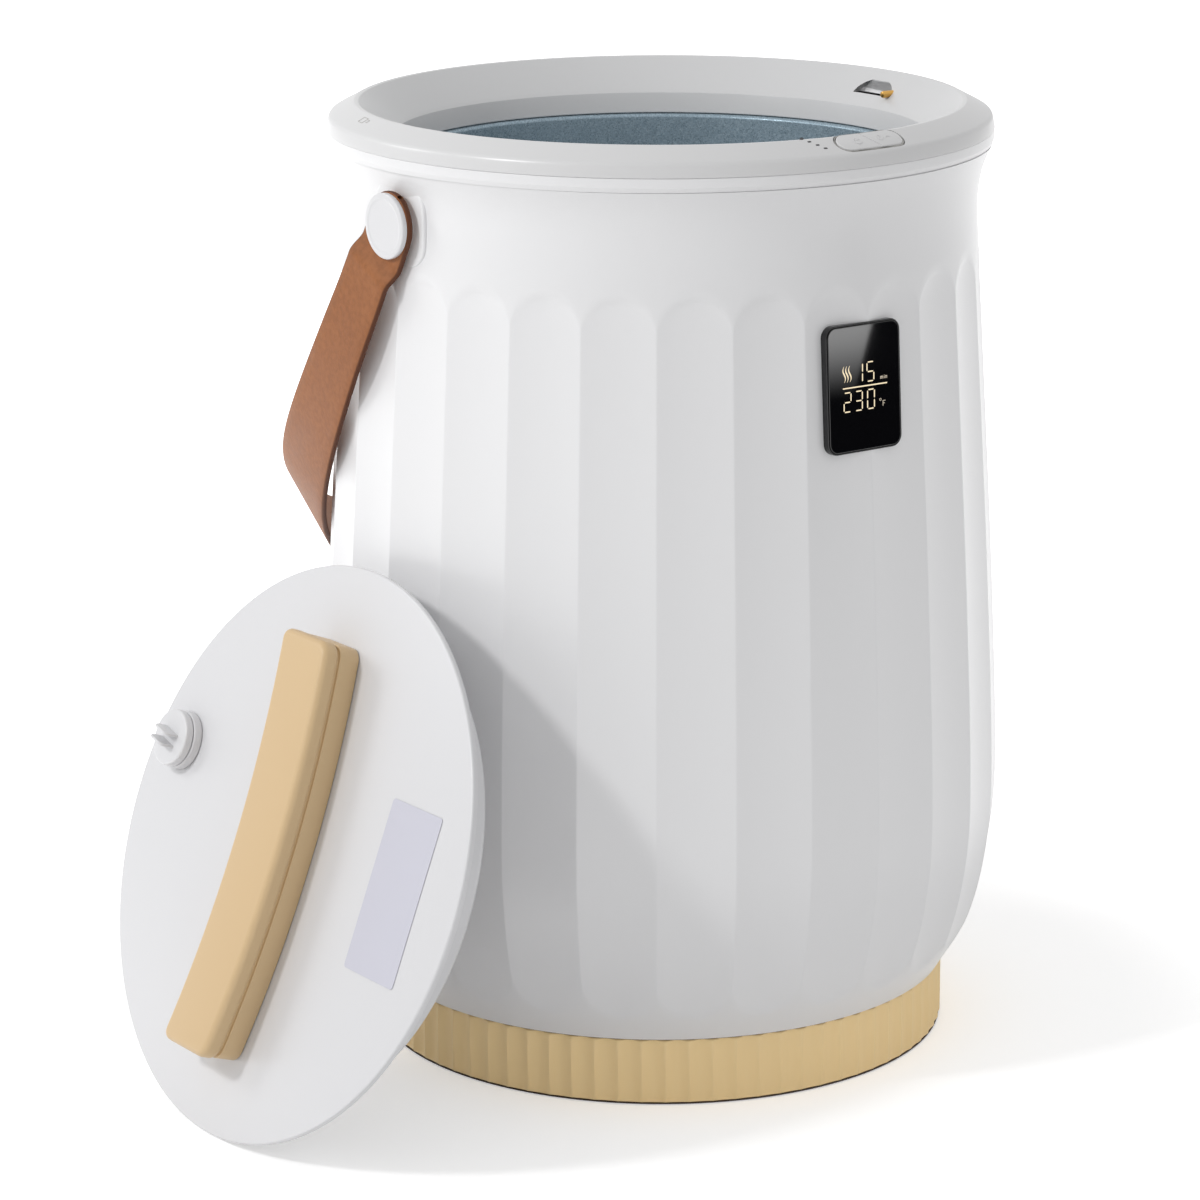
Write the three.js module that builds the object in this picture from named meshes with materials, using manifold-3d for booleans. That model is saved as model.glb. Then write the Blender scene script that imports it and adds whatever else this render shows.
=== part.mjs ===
import * as THREE from "three";
import { mergeVertices } from "three/addons/utils/BufferGeometryUtils.js";
import Module from "manifold-3d";

const wasm = await Module();
wasm.setup();

// A towel warmer bucket, in millimetres. The origin is on the bucket's axis where it stands, +Z is up,
// the display faces -Y and the strap's pivots are on the X axis. Azimuths turn from -Y towards +X.
// Its lid is taken off and leans on the body at -X.

// Fits
const gap = 0.3; // between pieces that touch
const overrun = 2; // how far a cutter runs past what it cuts
const sameCorner = 0.0001; // corners nearer than this are one

// Radii, each counted on from the one inside it
const bucketRadius = 107.6; // inside of the metal bucket
const mouthStep = 2; // mouth of the collar beyond the bucket
const ledgeStep = 2; // ledge at the foot of the collar's funnel
const funnelWidth = 15.9; // ledge to the crest of the rim
const brimWidth = 11.8; // crest to the seam under the rim
const neckTuck = 7.7; // the shell's neck lies behind the seam
const bellySwell = 13.5; // the belly stands out from the neck
const footTuck = 21.9; // the shell's foot lies behind the belly
const mouthRadius = bucketRadius + mouthStep;
const ledgeRadius = mouthRadius + ledgeStep;
const crestRadius = ledgeRadius + funnelWidth;
const seamRadius = crestRadius + brimWidth;
const neckRadius = seamRadius - neckTuck;
const bellyRadius = neckRadius + bellySwell;
const footRadius = bellyRadius - footTuck;

// Heights, from the ground up and from the rim down
const rimHeight = 400.2; // crest of the rim
const plateThickness = 2.4;
const ringHeight = 25;
const gasketHeight = 0.4;
const ringBottom = plateThickness + gap;
const ringTop = ringBottom + ringHeight;
const gasketBottom = ringTop + gap;
const gasketTop = gasketBottom + gasketHeight;
const shellBottom = gasketTop + gap;
const shoulderDrop = 5.6; // crest down to the shoulder of the rim
const seamDrop = 11.4; // crest down to the seam
const ledgeDrop = 13.9; // crest down to the ledge
const mouthDrop = 23.2; // crest down to the collar's lower edge
const beadHeight = 5.3;
const beadTop = rimHeight - seamDrop - gap;
const beadBottom = beadTop - beadHeight;
const shellTop = beadBottom - gap;
const shellHeight = shellTop - shellBottom;
const mouthHeight = rimHeight - mouthDrop;

// Counts and steps round the axis
const fluteCount = 28;
const fluteSteps = 2;
const scallopCount = 78;
const shellSteps = fluteCount * fluteSteps;
const innerSteps = 40;
const rodSteps = 12;
const capSteps = 24;
const screwSteps = 6;
const hexagonSides = 6;
const screwCount = 3;
const quarterTurn = Math.PI / 2;
const fullTurn = Math.PI * 2;

// Shell
const shell = {
  wall: 2.6,
  fluteDepth: 1.6,
  fluteFoot: 12.3, // lowest end of a flute over the shell's foot
  fluteDrop: 41.9, // highest end of a flute under the shell's top
  fluteEnd: 15, // length of a flute's round end
  flareFrontHeight: 36,
  flareBackHeight: 8.9,
  flareFrontReach: 7.4,
  flareBackReach: 4,
  flareSharpness: 2.2,
  flangeWidth: 11.2,
  flangeThickness: 2.5,
};
const lowerProfileShares = [[0, 0], [0.06, 0.557], [0.145, 0.895], [0.235, 1]]; // height, foot to belly
const upperProfileShares = [[0.484, 0.748], [0.766, 0.319], [0.97, 0], [1, 0]]; // height, neck to belly
const shellRowShares = [0, 0.04, 0.08, 0.14, 0.235, 0.36, 0.56];
const shellLiningShares = [0.97, 0.56, 0.235, 0.08];
const fluteEndShares = [0, 0.35, 1]; // rows in a flute's round end
const flareRowShares = [0.35, 0.7]; // rows between the flutes and the shell's top
const fluteLow = shellBottom + shell.fluteFoot;
const fluteHigh = shellTop - shell.fluteDrop;

// Screws and the bosses that they go into
const screw = { shaft: 1.5, head: 3.2, headHeight: 1.4, bossWall: 2.2, length: 12 };
const screwBore = screw.shaft + gap;
const bossRadius = screwBore + screw.bossWall;

// Rim
const shoulderShare = 0.907; // shoulder's place between the crest and the seam
const collar = { wall: 2.6, foot: 2.4, innerEdge: 1.8, innerEdgeDrop: 0.2, crestUnder: 2.8 };
const bead = { tuck: 0.2, underTuck: 1.4, width: 11.2, notchDepth: 6.5, notchAngle: 0.25 };
const beadRadius = seamRadius - bead.tuck;
const shoulderRadius = crestRadius + brimWidth * shoulderShare;
const slopeAngle = Math.atan2(shoulderDrop, shoulderRadius - crestRadius);

// Buttons in the rim's slope
const button = {
  azimuth: 0.0157,
  inset: 4.2, // middle of the buttons outside the crest, in plan
  length: 32.5,
  width: 9.8,
  frameWidth: 0.8,
  frameDepth: 2.8,
  recess: 3.4,
  proud: 0.3,
  face: 1.8, // depth of the pill-shaped face
  bodyLow: -4.2,
  bodyHigh: 2,
  bodyInset: 3,
  depth: 4.1,
  tabThickness: 1,
  tabReach: 1.6, // past the pill's end, under the collar
  tabLow: -4.2,
  tabHigh: -2.4,
  stemRadius: 1.5,
  stemLength: 1,
  stemShare: 0.246, // of the length, from the middle to each stem
  splitGap: 0.5,
  splitFoot: 6.05,
  splitHead: -5.35,
  travelRoom: 1.1,
  steps: 6,
  sideSteps: 6,
};
const buttonBoard = { endRoom: 2.5, width: 8, thickness: 1.2, towardsCrest: -1.5 };
const boardPost = { pastPill: 1.75, towardsCrest: 0.9, radius: 1.8, pin: 0.9, pinLength: 2 };
const postPlace = button.length / 2 + boardPost.pastPill;
const stemPlace = button.length * button.stemShare;
const tactSwitch = { side: 5, height: 3 };
const indicator = {
  radius: 0.6,
  sunk: 0.3,
  pastPill: 10,
  barLength: 8.6,
  barWidth: 9,
  barThickness: 1.5,
  barDrop: 9.3,
};
// How far past the pill's end each indicator is, and how far outside the crest.
const indicatorPlaces = [[13.6, -0.7], [11.4, 1.5], [8.9, 3.7], [6.5, 5.9]];
const slopeRadius = crestRadius + button.inset;
const azimuthPastPill = (along) => button.azimuth - (button.length / 2 + along) / slopeRadius;
const slopeHeight = rimHeight - button.inset * Math.tan(slopeAngle);

// Lid pin and its pocket in the funnel
const tipShare = 0.5; // radius of the lid pin's blunt tip
const pocket = {
  azimuth: 1.571,
  halfWidth: 11.7,
  height: 6.1,
  floorDrop: 9.7, // its floor under the crest
  back: 5.7, // its back wall inside the crest, in plan
  wall: 1.5,
  steps: 10,
};
const lidPin = {
  azimuth: 1.477,
  radius: 1.5,
  drop: 8.2, // its axis under the crest
  tip: 14.3, // its ends inside the crest, in plan
  inside: 2.5,
  flange: 2.6,
  flangeThickness: 1,
};
const lidSwitch = { width: 12, depth: 4.5, height: 3.2, travelRoom: 3.3 };

// Metal bucket and what is round it
const bucket = { wall: 1, flange: 15.4, corner: 12, bottom: 52, cornerSteps: 3 };
const bucketTop = mouthHeight - gap;
const bucketOuter = bucketRadius + bucket.wall;
const film = { thickness: 0.8, bottomShare: 0.12, topShare: 0.86 };
const blanket = { thickness: 8, bottomShare: 0.13, topShare: 0.9 };
const band = { thickness: 0.8, width: 10 };
const bandShares = { clamp_band_lower: 0.2, clamp_band_upper: 0.8 };
const bucketDepth = bucketTop - bucket.bottom;
const bucketScrewCircle = bucketOuter + bucket.flange / 2;
const filmInner = bucketOuter + gap;
const blanketInner = filmInner + film.thickness + gap;
const bandInner = blanketInner + blanket.thickness + gap;
const thermostat = { radius: 8, height: 6, x: 24, steps: 20 };
const fuse = { radius: 2.2, length: 14, x: -24 };
const clip = { width: 6, wing: 7, thickness: 0.8 };

// Base
const ring = { tuck: 0.4, scallopDepth: 1.2, wall: 2.6, shelf: 3, shelfWidth: 10.8 };
const ringRadius = footRadius - ring.tuck;
const ringInner = ringRadius - ring.scallopDepth - ring.wall;
const shelfInner = ringRadius - ring.shelfWidth;
const plate = { tuck: 0.4, screwPocket: 1.7 };
const gasket = { tuck: 1 };
const foot = { width: 12, recess: 1.2, inset: 16 };
const footOuter = ringRadius - foot.inset;
const footInner = footOuter - foot.width;
const baseScrewCircle = shelfInner + bossRadius + gap;
const baseScrewAzimuth = 0.5;
const bucketScrewAzimuth = 0.9;
const gland = { radius: 7, flange: 2, neck: 5, bore: 3.2, height: 14.5, tail: 7 };

// Electronics on the base plate
const board = { length: 120, width: 80, thickness: 1.6, height: 12.3, inset: 8 };
const standoff = { radius: 3, pin: 1.2, pinLength: 2.6 };
const boardTop = board.height + board.thickness + gap;
// Each component's middle is placed by shares of the board's length and width.
const onBoardShares = ([along, across]) => [board.length * along, board.width * across];
const relay = { size: [28, 12, 16], shares: [-0.333, 0.225] };
const transformer = { size: [26, 22, 18], shares: [0.283, 0.2] };
const terminalBlock = { size: [36, 10, 12], shares: [0, 0.4] };
const capacitor = { radius: 6, length: 24, shares: [0, -0.175] };
const lead = { radius: 1.4, spacing: 12, endRoom: 0.9, sides: 6, steps: 12 };
const leadRouteShares = [[0, 0], [0, 0.45], [0.06, 0.75], [0.5, 0.86], [0.97, 0.86], [1, 1]]; // inwards, down

// Display
const display = {
  azimuth: -0.025,
  tilt: 0.056,
  drop: 100, // its middle under the rim's crest
  proud: 0.8, // glass in front of the shell's ridges
  width: 36.2,
  height: 50.4,
  corner: 4,
  glass: 1.5,
  lip: 0.8,
  lipTuck: 0.1,
  tubDepth: 13,
  cavityInset: 3.5,
  panel: 3,
  board: 1.6,
  cornerSteps: 4,
};

// Strap handle and its pivots
const pivot = {
  drop: 39.2, // axis under the rim's crest
  pad: 33.6,
  padCorner: 10,
  padProud: 1.5, // over the shell's neck
  spacer: 2.2,
  spacerRadius: 10,
  bolt: 3,
  boltHead: 6,
  boltHeadHeight: 1.2,
  cap: 13.5,
  capSkin: 1,
  capBevel: 0.8,
  nut: 4,
  nutRadius: 6.5,
  boltEnd: 1,
  wallRoom: 0.6,
};
const pivotHeight = rimHeight - pivot.drop;
const strap = {
  thickness: 2.4,
  width: 28,
  middleWidth: 42,
  rimRoom: 0.5, // between the strap and the rim as it swings past
  bowStart: 13,
  bowEnd: 18,
  seatRoom: 21.5, // the shell is relieved this far round the pivot
  straight: 45,
  reachShare: 1.6935, // of the belly's radius
  hangAngle: 0.505,
  middleAngle: 0.737,
  endTip: 1,
  endSteps: 4,
  turnSteps: 14,
};
const strapStraightShares = [0, 0.3, 0.345, 0.4, 0.5, 0.75]; // stations on the straight stretch
const strapReach = bellyRadius * strap.reachShare;
const padFace = neckRadius + pivot.padProud;
const spacerOuter = padFace + pivot.spacer;
const strapSeat = spacerOuter + gap;
const strapClear = beadRadius + strap.rimRoom;
const capInner = strapSeat + strap.thickness + gap;

// Lid, leaning on the body with its front face at local z 0, local +Y up the lid
const lid = {
  azimuth: -1.5957,
  tilt: 0.3677,
  sideways: 13.9,
  lift: 0.05,
  leanSteps: 12, // steps in which it is moved up to the shell
  leanPlaces: 240, // places on its liner's edge where the room is measured
  radius: 119.1,
  edge: 3,
  bevel: 0.8,
};
const liner = { inset: 17.9, depth: 22.6, wall: 1.5, bevel: 2 };
const seal = { width: 4, height: 3 };
const lidHandle = {
  length: 175,
  width: 32.6,
  footDraft: 0.15, // how much narrower its foot is, as a share
  bow: 8.9,
  side: 5,
  corner: 5,
  parting: 11.2,
  height: 20,
  bevel: 3,
  baseInset: 0.4,
  screwFromEnd: 27.5,
  screwDepth: 8,
  sideSteps: 8,
  cornerSteps: 3,
};
const scent = {
  shares: [-0.7926, 0.2049], // its middle, as shares of the lid's radius
  radius: 12.5,
  collarHeight: 3.7,
  capHeight: 3.7,
  capInset: 0.6,
  bore: 9,
  skirtWall: 1,
  skirtDepth: 6,
  padDepth: 4.5,
  fin: 1.2,
  finLength: 10.5,
  finHeight: 7,
  finSpacing: 5,
  finAzimuth: 2.92,
  steps: 16,
};
const linerRadius = lid.radius - liner.inset;
const [scentX, scentY] = scent.shares.map((share) => share * lid.radius);
const scentFoot = lid.edge + gap; // underside of the scent pad, below the lid's front face

// Finishes: colour, roughness, metalness
const finishes = {
  white: [0xe9e9ec, 0.22, 0],
  butter: [0xe0be84, 0.4, 0],
  leather: [0xa8704a, 0.6, 0],
  coatedMetal: [0x8ca0ac, 0.35, 0.6],
  brass: [0xb08232, 0.3, 1],
  blackGloss: [0x0b0b0d, 0.08, 0],
  darkBrown: [0x3a2418, 0.6, 0],
  darkGrey: [0x3c3c3f, 0.7, 0],
  rubber: [0x2a2a2c, 0.85, 0],
  steel: [0xb8bcc0, 0.35, 1],
  circuit: [0x2f6b3c, 0.5, 0],
  copperFilm: [0xb86b2c, 0.4, 0.4],
  fibre: [0xd9d4c4, 0.95, 0],
  silicone: [0xd6d6d4, 0.7, 0],
  blue: [0x2c4f8c, 0.5, 0],
};

function finish(name) {
  const [color, roughness, metalness] = finishes[name];
  return new THREE.MeshStandardMaterial({ color, roughness, metalness });
}

// Helpers for closed geometry

function enclosedVolume(position, corners) {
  const [a, b, c] = [new THREE.Vector3(), new THREE.Vector3(), new THREE.Vector3()];
  let total = 0;
  for (let i = 0; i < corners.length; i += 3) {
    a.fromBufferAttribute(position, corners[i]);
    b.fromBufferAttribute(position, corners[i + 1]);
    c.fromBufferAttribute(position, corners[i + 2]);
    total += a.dot(b.cross(c));
  }
  return total;
}

// Shares the corners, drops the empty triangles that a lathe leaves on its axis, and turns the faces out.
function closed(geometry) {
  const bare = geometry.clone();
  bare.deleteAttribute("normal");
  bare.deleteAttribute("uv");
  const merged = mergeVertices(bare, sameCorner);
  const corners = [];
  for (let i = 0; i < merged.index.count; i += 3) {
    const [a, b, c] = [0, 1, 2].map((k) => merged.index.getX(i + k));
    if (a !== b && b !== c && c !== a) corners.push(a, b, c);
  }
  if (enclosedVolume(merged.attributes.position, corners) < 0) corners.reverse();
  merged.setIndex(corners);
  return merged;
}

function manifoldOf(geometry) {
  const vertProperties = new Float32Array(geometry.attributes.position.array);
  const triVerts = new Uint32Array(geometry.index.array);
  return new wasm.Manifold(new wasm.Mesh({ numProp: 3, vertProperties, triVerts }));
}

function geometryOf(manifold) {
  const mesh = manifold.getMesh();
  const geometry = new THREE.BufferGeometry();
  geometry.setAttribute("position", new THREE.BufferAttribute(mesh.vertProperties, 3));
  geometry.setIndex(new THREE.BufferAttribute(mesh.triVerts, 1));
  return geometry;
}

function cut(base, ...tools) {
  return geometryOf(tools.reduce((rest, tool) => rest.subtract(manifoldOf(tool)), manifoldOf(base)));
}

function join(base, ...others) {
  return geometryOf(others.reduce((whole, other) => whole.add(manifoldOf(other)), manifoldOf(base)));
}

function common(base, other) {
  return geometryOf(manifoldOf(base).intersect(manifoldOf(other)));
}

// A solid of revolution from [radius, height] points. A profile off the axis closes on itself.
function lathe(points, steps, reshape) {
  const profile = points.map(([radius, height]) => new THREE.Vector2(radius, height));
  if (points[0][0] > 0) profile.push(profile[0].clone());
  const geometry = new THREE.LatheGeometry(profile, steps).rotateX(quarterTurn);
  if (reshape) reshapeRadii(geometry, profile.length, reshape);
  return closed(geometry);
}

// Moves each corner in or out: reshape gives the change of radius for a profile point at an azimuth.
function reshapeRadii(geometry, profileLength, reshape) {
  const position = geometry.attributes.position;
  for (let i = 0; i < position.count; i += 1) {
    const [x, y, z] = [position.getX(i), position.getY(i), position.getZ(i)];
    const radius = Math.hypot(x, y);
    const step = Math.floor(i / profileLength);
    const steps = position.count / profileLength - 1;
    const change = reshape((step / steps) * fullTurn, z, (i % profileLength) % (profileLength - 1));
    position.setXY(i, x * (1 + change / radius), y * (1 + change / radius));
  }
}

function disc(radius, bottom, top, steps) {
  return lathe([[0, bottom], [radius, bottom], [radius, top], [0, top]], steps);
}

function tube(inner, outer, bottom, top, steps) {
  return lathe([[inner, bottom], [outer, bottom], [outer, top], [inner, top]], steps);
}

function slab(width, depth, height) {
  return closed(new THREE.BoxGeometry(width, depth, height));
}

function moved(geometry, matrix) {
  return geometry.clone().applyMatrix4(matrix);
}

function shifted(geometry, x, y, z) {
  return geometry.clone().translate(x, y, z);
}

// A place on a circle round the axis.
function onCircle(radius, azimuth) {
  return [radius * Math.sin(azimuth), -radius * Math.cos(azimuth)];
}

// Copies of one solid on a circle, as one geometry of separate solids or one cutter.
function roundCircle(geometry, count, radius, firstAzimuth) {
  const copies = [];
  for (let k = 0; k < count; k += 1) {
    const [x, y] = onCircle(radius, firstAzimuth + (k / count) * fullTurn);
    copies.push(shifted(geometry, x, y, 0));
  }
  return join(...copies);
}

// Local axes of a face that looks outwards, leaning up by tilt: X along the circle, Y up it, Z out of it.
function facePlace(azimuth, radius, height, tilt) {
  const [x, y] = onCircle(1, azimuth);
  const out = new THREE.Vector3(x * Math.cos(tilt), y * Math.cos(tilt), Math.sin(tilt));
  const along = new THREE.Vector3(-y, x, 0);
  const up = new THREE.Vector3().crossVectors(out, along);
  return new THREE.Matrix4().makeBasis(along, up, out).setPosition(radius * x, radius * y, height);
}

// Turns +Z to face outwards at an azimuth: for rods and rings that go through a wall.
function radialPlace(azimuth, radius, height) {
  return facePlace(azimuth, radius, height, 0);
}

function roundedOutline(width, height, corner, cornerSteps) {
  const points = [];
  const centres = [[1, 1], [-1, 1], [-1, -1], [1, -1]];
  centres.forEach(([sx, sy], quarter) => {
    for (let k = 0; k <= cornerSteps; k += 1) {
      const angle = (quarter + k / cornerSteps) * quarterTurn;
      const x = sx * (width / 2 - corner) + corner * Math.cos(angle);
      const y = sy * (height / 2 - corner) + corner * Math.sin(angle);
      points.push(new THREE.Vector2(x, y));
    }
  });
  return points;
}

// An outline raised along +Z from one height to another.
function raised(outline, bottom, top) {
  const options = { depth: top - bottom, bevelEnabled: false, steps: 1 };
  return closed(new THREE.ExtrudeGeometry(new THREE.Shape(outline), options).translate(0, 0, bottom));
}

// A screw along +Z, its head at z 0.
function screwBody(length) {
  const { shaft, head, headHeight } = screw;
  const profile = [[0, 0], [head, 0], [head, headHeight], [shaft, headHeight], [shaft, length], [0, length]];
  return lathe(profile, screwSteps);
}

// The shell's form

// A smooth curve through knots [place, value].
function curveThrough(knots, place) {
  const last = knots.length - 1;
  let k = 0;
  while (k < last - 1 && place > knots[k + 1][0]) k += 1;
  const slope = (i) => {
    const before = knots[Math.max(i - 1, 0)];
    const after = knots[Math.min(i + 1, last)];
    return (after[1] - before[1]) / (after[0] - before[0]);
  };
  const [start, startValue] = knots[k];
  const [end, endValue] = knots[k + 1];
  const span = end - start;
  const t = (place - start) / span;
  const rise = t * t * (3 - 2 * t);
  const leave = t * (1 - t) * (1 - t) * span * slope(k);
  const arrive = t * t * (t - 1) * span * slope(k + 1);
  return startValue * (1 - rise) + endValue * rise + leave + arrive;
}

const shellKnots = [
  ...lowerProfileShares.map(([up, out]) => [shellBottom + up * shellHeight, footRadius + out * footTuck]),
  ...upperProfileShares.map(([up, out]) => [shellBottom + up * shellHeight, neckRadius + out * bellySwell]),
];

// Radius of the ridges between the flutes.
function ridgeRadius(height) {
  return curveThrough(shellKnots, height);
}

// How far a flute sinks the wall: a shallow trough with round ends. A ridge is at azimuth 0.
function fluteSink(azimuth, height) {
  const endRoom = Math.min(height - fluteLow, fluteHigh - height);
  if (endRoom <= 0) return 0;
  const turn = (azimuth / fullTurn) * fluteCount;
  const across = 2 * (turn - Math.floor(turn)) - 1;
  const halfWidthSquared = 1 - (1 - Math.min(endRoom / shell.fluteEnd, 1)) ** 2;
  return shell.fluteDepth * Math.max(0, halfWidthSquared - across * across);
}

// How far the neck flares out to the rim: long at the front, short and sharp at the back.
function flare(azimuth, height) {
  const front = Math.cos(azimuth / 2) ** 2;
  const length = shell.flareBackHeight + (shell.flareFrontHeight - shell.flareBackHeight) * front;
  const start = shellTop - length;
  const reach = shell.flareBackReach + (shell.flareFrontReach - shell.flareBackReach) * front;
  const rise = Math.max(0, (height - start) / length);
  return reach * rise ** shell.flareSharpness;
}

function shellRadius(azimuth, height) {
  return ridgeRadius(height) + flare(azimuth, height) - fluteSink(azimuth, height);
}

function shellRows() {
  const rows = shellRowShares.map((share) => shellBottom + share * shellHeight);
  rows.push(fluteLow);
  fluteEndShares.forEach((share) => rows.push(fluteHigh - share * shell.fluteEnd));
  flareRowShares.forEach((share) => rows.push(fluteHigh + share * shell.fluteDrop));
  rows.push(shellTop);
  return rows.sort((a, b) => a - b);
}

function shellWall() {
  const rows = shellRows();
  const outside = rows.map((height) => [ridgeRadius(height), height]);
  const lining = (height) => [ridgeRadius(height) - shell.fluteDepth - shell.wall, height];
  const flangeTop = shellBottom + shell.flangeThickness;
  const flangeInner = footRadius - shell.flangeWidth;
  const inside = shellLiningShares.map((share) => lining(shellBottom + share * shellHeight));
  const profile = [
    ...outside,
    [neckRadius - shell.fluteDepth - shell.wall, shellTop],
    ...inside,
    lining(flangeTop),
    [flangeInner, flangeTop],
    [flangeInner, shellBottom],
  ];
  return lathe(profile, shellSteps, (azimuth, height, k) => {
    if (k >= rows.length) return 0;
    return flare(azimuth, height) - fluteSink(azimuth, height);
  });
}

const displayHeight = rimHeight - display.drop;
const displayPlace = facePlace(
  display.azimuth,
  ridgeRadius(displayHeight) + display.proud,
  displayHeight,
  display.tilt,
);

// A place on the pivots' axis: side -1 is the left pivot, side 1 the right one.
function sidePlace(side) {
  return radialPlace(side * quarterTurn, 0, pivotHeight);
}

function pivotPad(side) {
  const outline = roundedOutline(pivot.pad, pivot.pad, pivot.padCorner, display.cornerSteps);
  const root = neckRadius - shell.fluteDepth - shell.wall / 2;
  return common(moved(raised(outline, root - shell.wall, padFace), sidePlace(side)), padKeep());
}

// Leaves of a pivot pad what is outside the shell's lining.
function padKeep() {
  const inner = neckRadius - shell.fluteDepth - shell.wall / 2;
  return tube(inner, padFace + overrun, pivotHeight - pivot.pad, shellTop - overrun / 2, shellSteps);
}

function buildShell() {
  const bossBottom = shellBottom + shell.flangeThickness / 2;
  const bossTop = shellBottom + screw.length;
  const boss = disc(bossRadius, bossBottom, bossTop, screwSteps);
  const bore = disc(screwBore, shellBottom - overrun, bossTop - screw.bossWall, screwSteps);
  const window = moved(raised(tubOutline(gap), -display.tubDepth - overrun, overrun), displayPlace);
  const spacer = disc(pivot.spacerRadius, neckRadius - shell.wall, spacerOuter, rodSteps);
  const hole = disc(pivot.bolt + gap, neckRadius / 2, spacerOuter + overrun, rodSteps);
  const room = disc(strap.seatRoom, spacerOuter, seamRadius + overrun, capSteps);
  const sides = [-1, 1];
  const wall = join(
    shellWall(),
    roundCircle(boss, screwCount, baseScrewCircle, baseScrewAzimuth),
    ...sides.map(pivotPad),
    ...sides.map((side) => moved(spacer, sidePlace(side))),
  );
  return cut(
    wall,
    window,
    roundCircle(bore, screwCount, baseScrewCircle, baseScrewAzimuth),
    ...sides.map((side) => moved(hole, sidePlace(side))),
    ...sides.map((side) => moved(room, sidePlace(side))),
  );
}

// Outline of the display's tub, and of the hole for it in the shell.
function tubOutline(growth) {
  const { width, height, corner, lip, cornerSteps } = display;
  const grown = 2 * (lip + growth);
  return roundedOutline(width + grown, height + grown, corner + lip, cornerSteps);
}

// The rim: collar and bead

// The collar's upper side, from the seam over the crest and down the funnel.
function collarTop() {
  return [
    [seamRadius, rimHeight - seamDrop],
    [shoulderRadius, rimHeight - shoulderDrop],
    [crestRadius, rimHeight],
    [crestRadius - collar.innerEdge, rimHeight - collar.innerEdgeDrop],
    [ledgeRadius, rimHeight - ledgeDrop],
    [mouthRadius, mouthHeight],
  ];
}

function collarWall() {
  const underCrest = crestRadius - collar.innerEdge + collar.wall / 2;
  return lathe(
    [
      ...collarTop(),
      [mouthRadius + collar.foot, mouthHeight],
      [ledgeRadius + collar.foot, rimHeight - ledgeDrop - collar.wall / 2],
      [underCrest, rimHeight - collar.crestUnder],
      [shoulderRadius - collar.wall / 2, rimHeight - shoulderDrop - collar.wall],
      [seamRadius - collar.wall, rimHeight - seamDrop],
    ],
    shellSteps,
  );
}

// What is under the collar's upper side: bosses are trimmed to it.
function collarBlock() {
  return lathe([...collarTop(), [seamRadius, mouthHeight]].reverse(), shellSteps);
}

// A flat local frame on the buttons' middle: X along the rim, Y up to the crest, Z out of the slope.
const slopePlace = facePlace(button.azimuth, slopeRadius, slopeHeight, quarterTurn - slopeAngle);

// Bends a flat solid, drawn in that frame, round the rim.
function bentOntoRim(geometry) {
  const bent = geometry.clone();
  const position = bent.attributes.position;
  for (let i = 0; i < position.count; i += 1) {
    const [along, towardsCrest, out] = [position.getX(i), position.getY(i), position.getZ(i)];
    const radius = slopeRadius - towardsCrest * Math.cos(slopeAngle) + out * Math.sin(slopeAngle);
    const height = slopeHeight + towardsCrest * Math.sin(slopeAngle) + out * Math.cos(slopeAngle);
    const [x, y] = onCircle(radius, button.azimuth + along / slopeRadius);
    position.setXYZ(i, x, y, height);
  }
  return closed(bent);
}

// A pill outline with corners along its straight sides, so that it can bend.
function pillOutline(growth) {
  const radius = button.width / 2 + growth;
  const reach = (button.length - button.width) / 2;
  const points = [];
  [1, -1].forEach((side) => {
    for (let k = 0; k <= button.steps; k += 1) {
      const angle = (side === 1 ? -quarterTurn : quarterTurn) + (k / button.steps) * Math.PI;
      points.push(new THREE.Vector2(side * reach + radius * Math.cos(angle), radius * Math.sin(angle)));
    }
    for (let k = 1; k < button.sideSteps; k += 1) {
      const along = side * reach * (1 - (2 * k) / button.sideSteps);
      points.push(new THREE.Vector2(along, side * radius));
    }
  });
  return points;
}

function pill(growth, bottom, top) {
  return bentOntoRim(raised(pillOutline(growth), bottom, top));
}

// One side of the slanting split between the two buttons.
function buttonHalf(side) {
  const far = side * button.length;
  const edge = (side * button.splitGap) / 2;
  const corners = [
    [button.splitFoot + edge, -button.width],
    [far, -button.width],
    [far, button.width],
    [button.splitHead + edge, button.width],
  ];
  const outline = corners.map(([x, y]) => new THREE.Vector2(x, y));
  return moved(raised(outline, -button.length, button.length), slopePlace);
}

// Depth of the button board's upper face under the slope.
const boardDepth = button.depth + button.stemLength + button.travelRoom + tactSwitch.height + gap;

// A post under the collar with a pin that goes through the button board.
function buttonBoardPost(side) {
  const { towardsCrest, radius, pin, pinLength } = boardPost;
  const profile = [
    [0, -boardDepth - pinLength],
    [pin, -boardDepth - pinLength],
    [pin, gap - boardDepth],
    [radius, gap - boardDepth],
    [radius, -collar.wall / 2],
    [0, -collar.wall / 2],
  ];
  return moved(shifted(lathe(profile, screwSteps), side * postPlace, towardsCrest, 0), slopePlace);
}

// Upright rods from a bar up to the slope, one at each indicator.
function indicatorRods(radius, growth) {
  const bottom = rimHeight - indicator.barDrop;
  return indicatorPlaces.map(([along, out]) => {
    const [x, y] = onCircle(crestRadius + out, azimuthPastPill(along));
    const top = rimHeight - Math.max(out, 0) * Math.tan(slopeAngle) + growth;
    return shifted(disc(radius, bottom, top, screwSteps), x, y, 0);
  });
}

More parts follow.
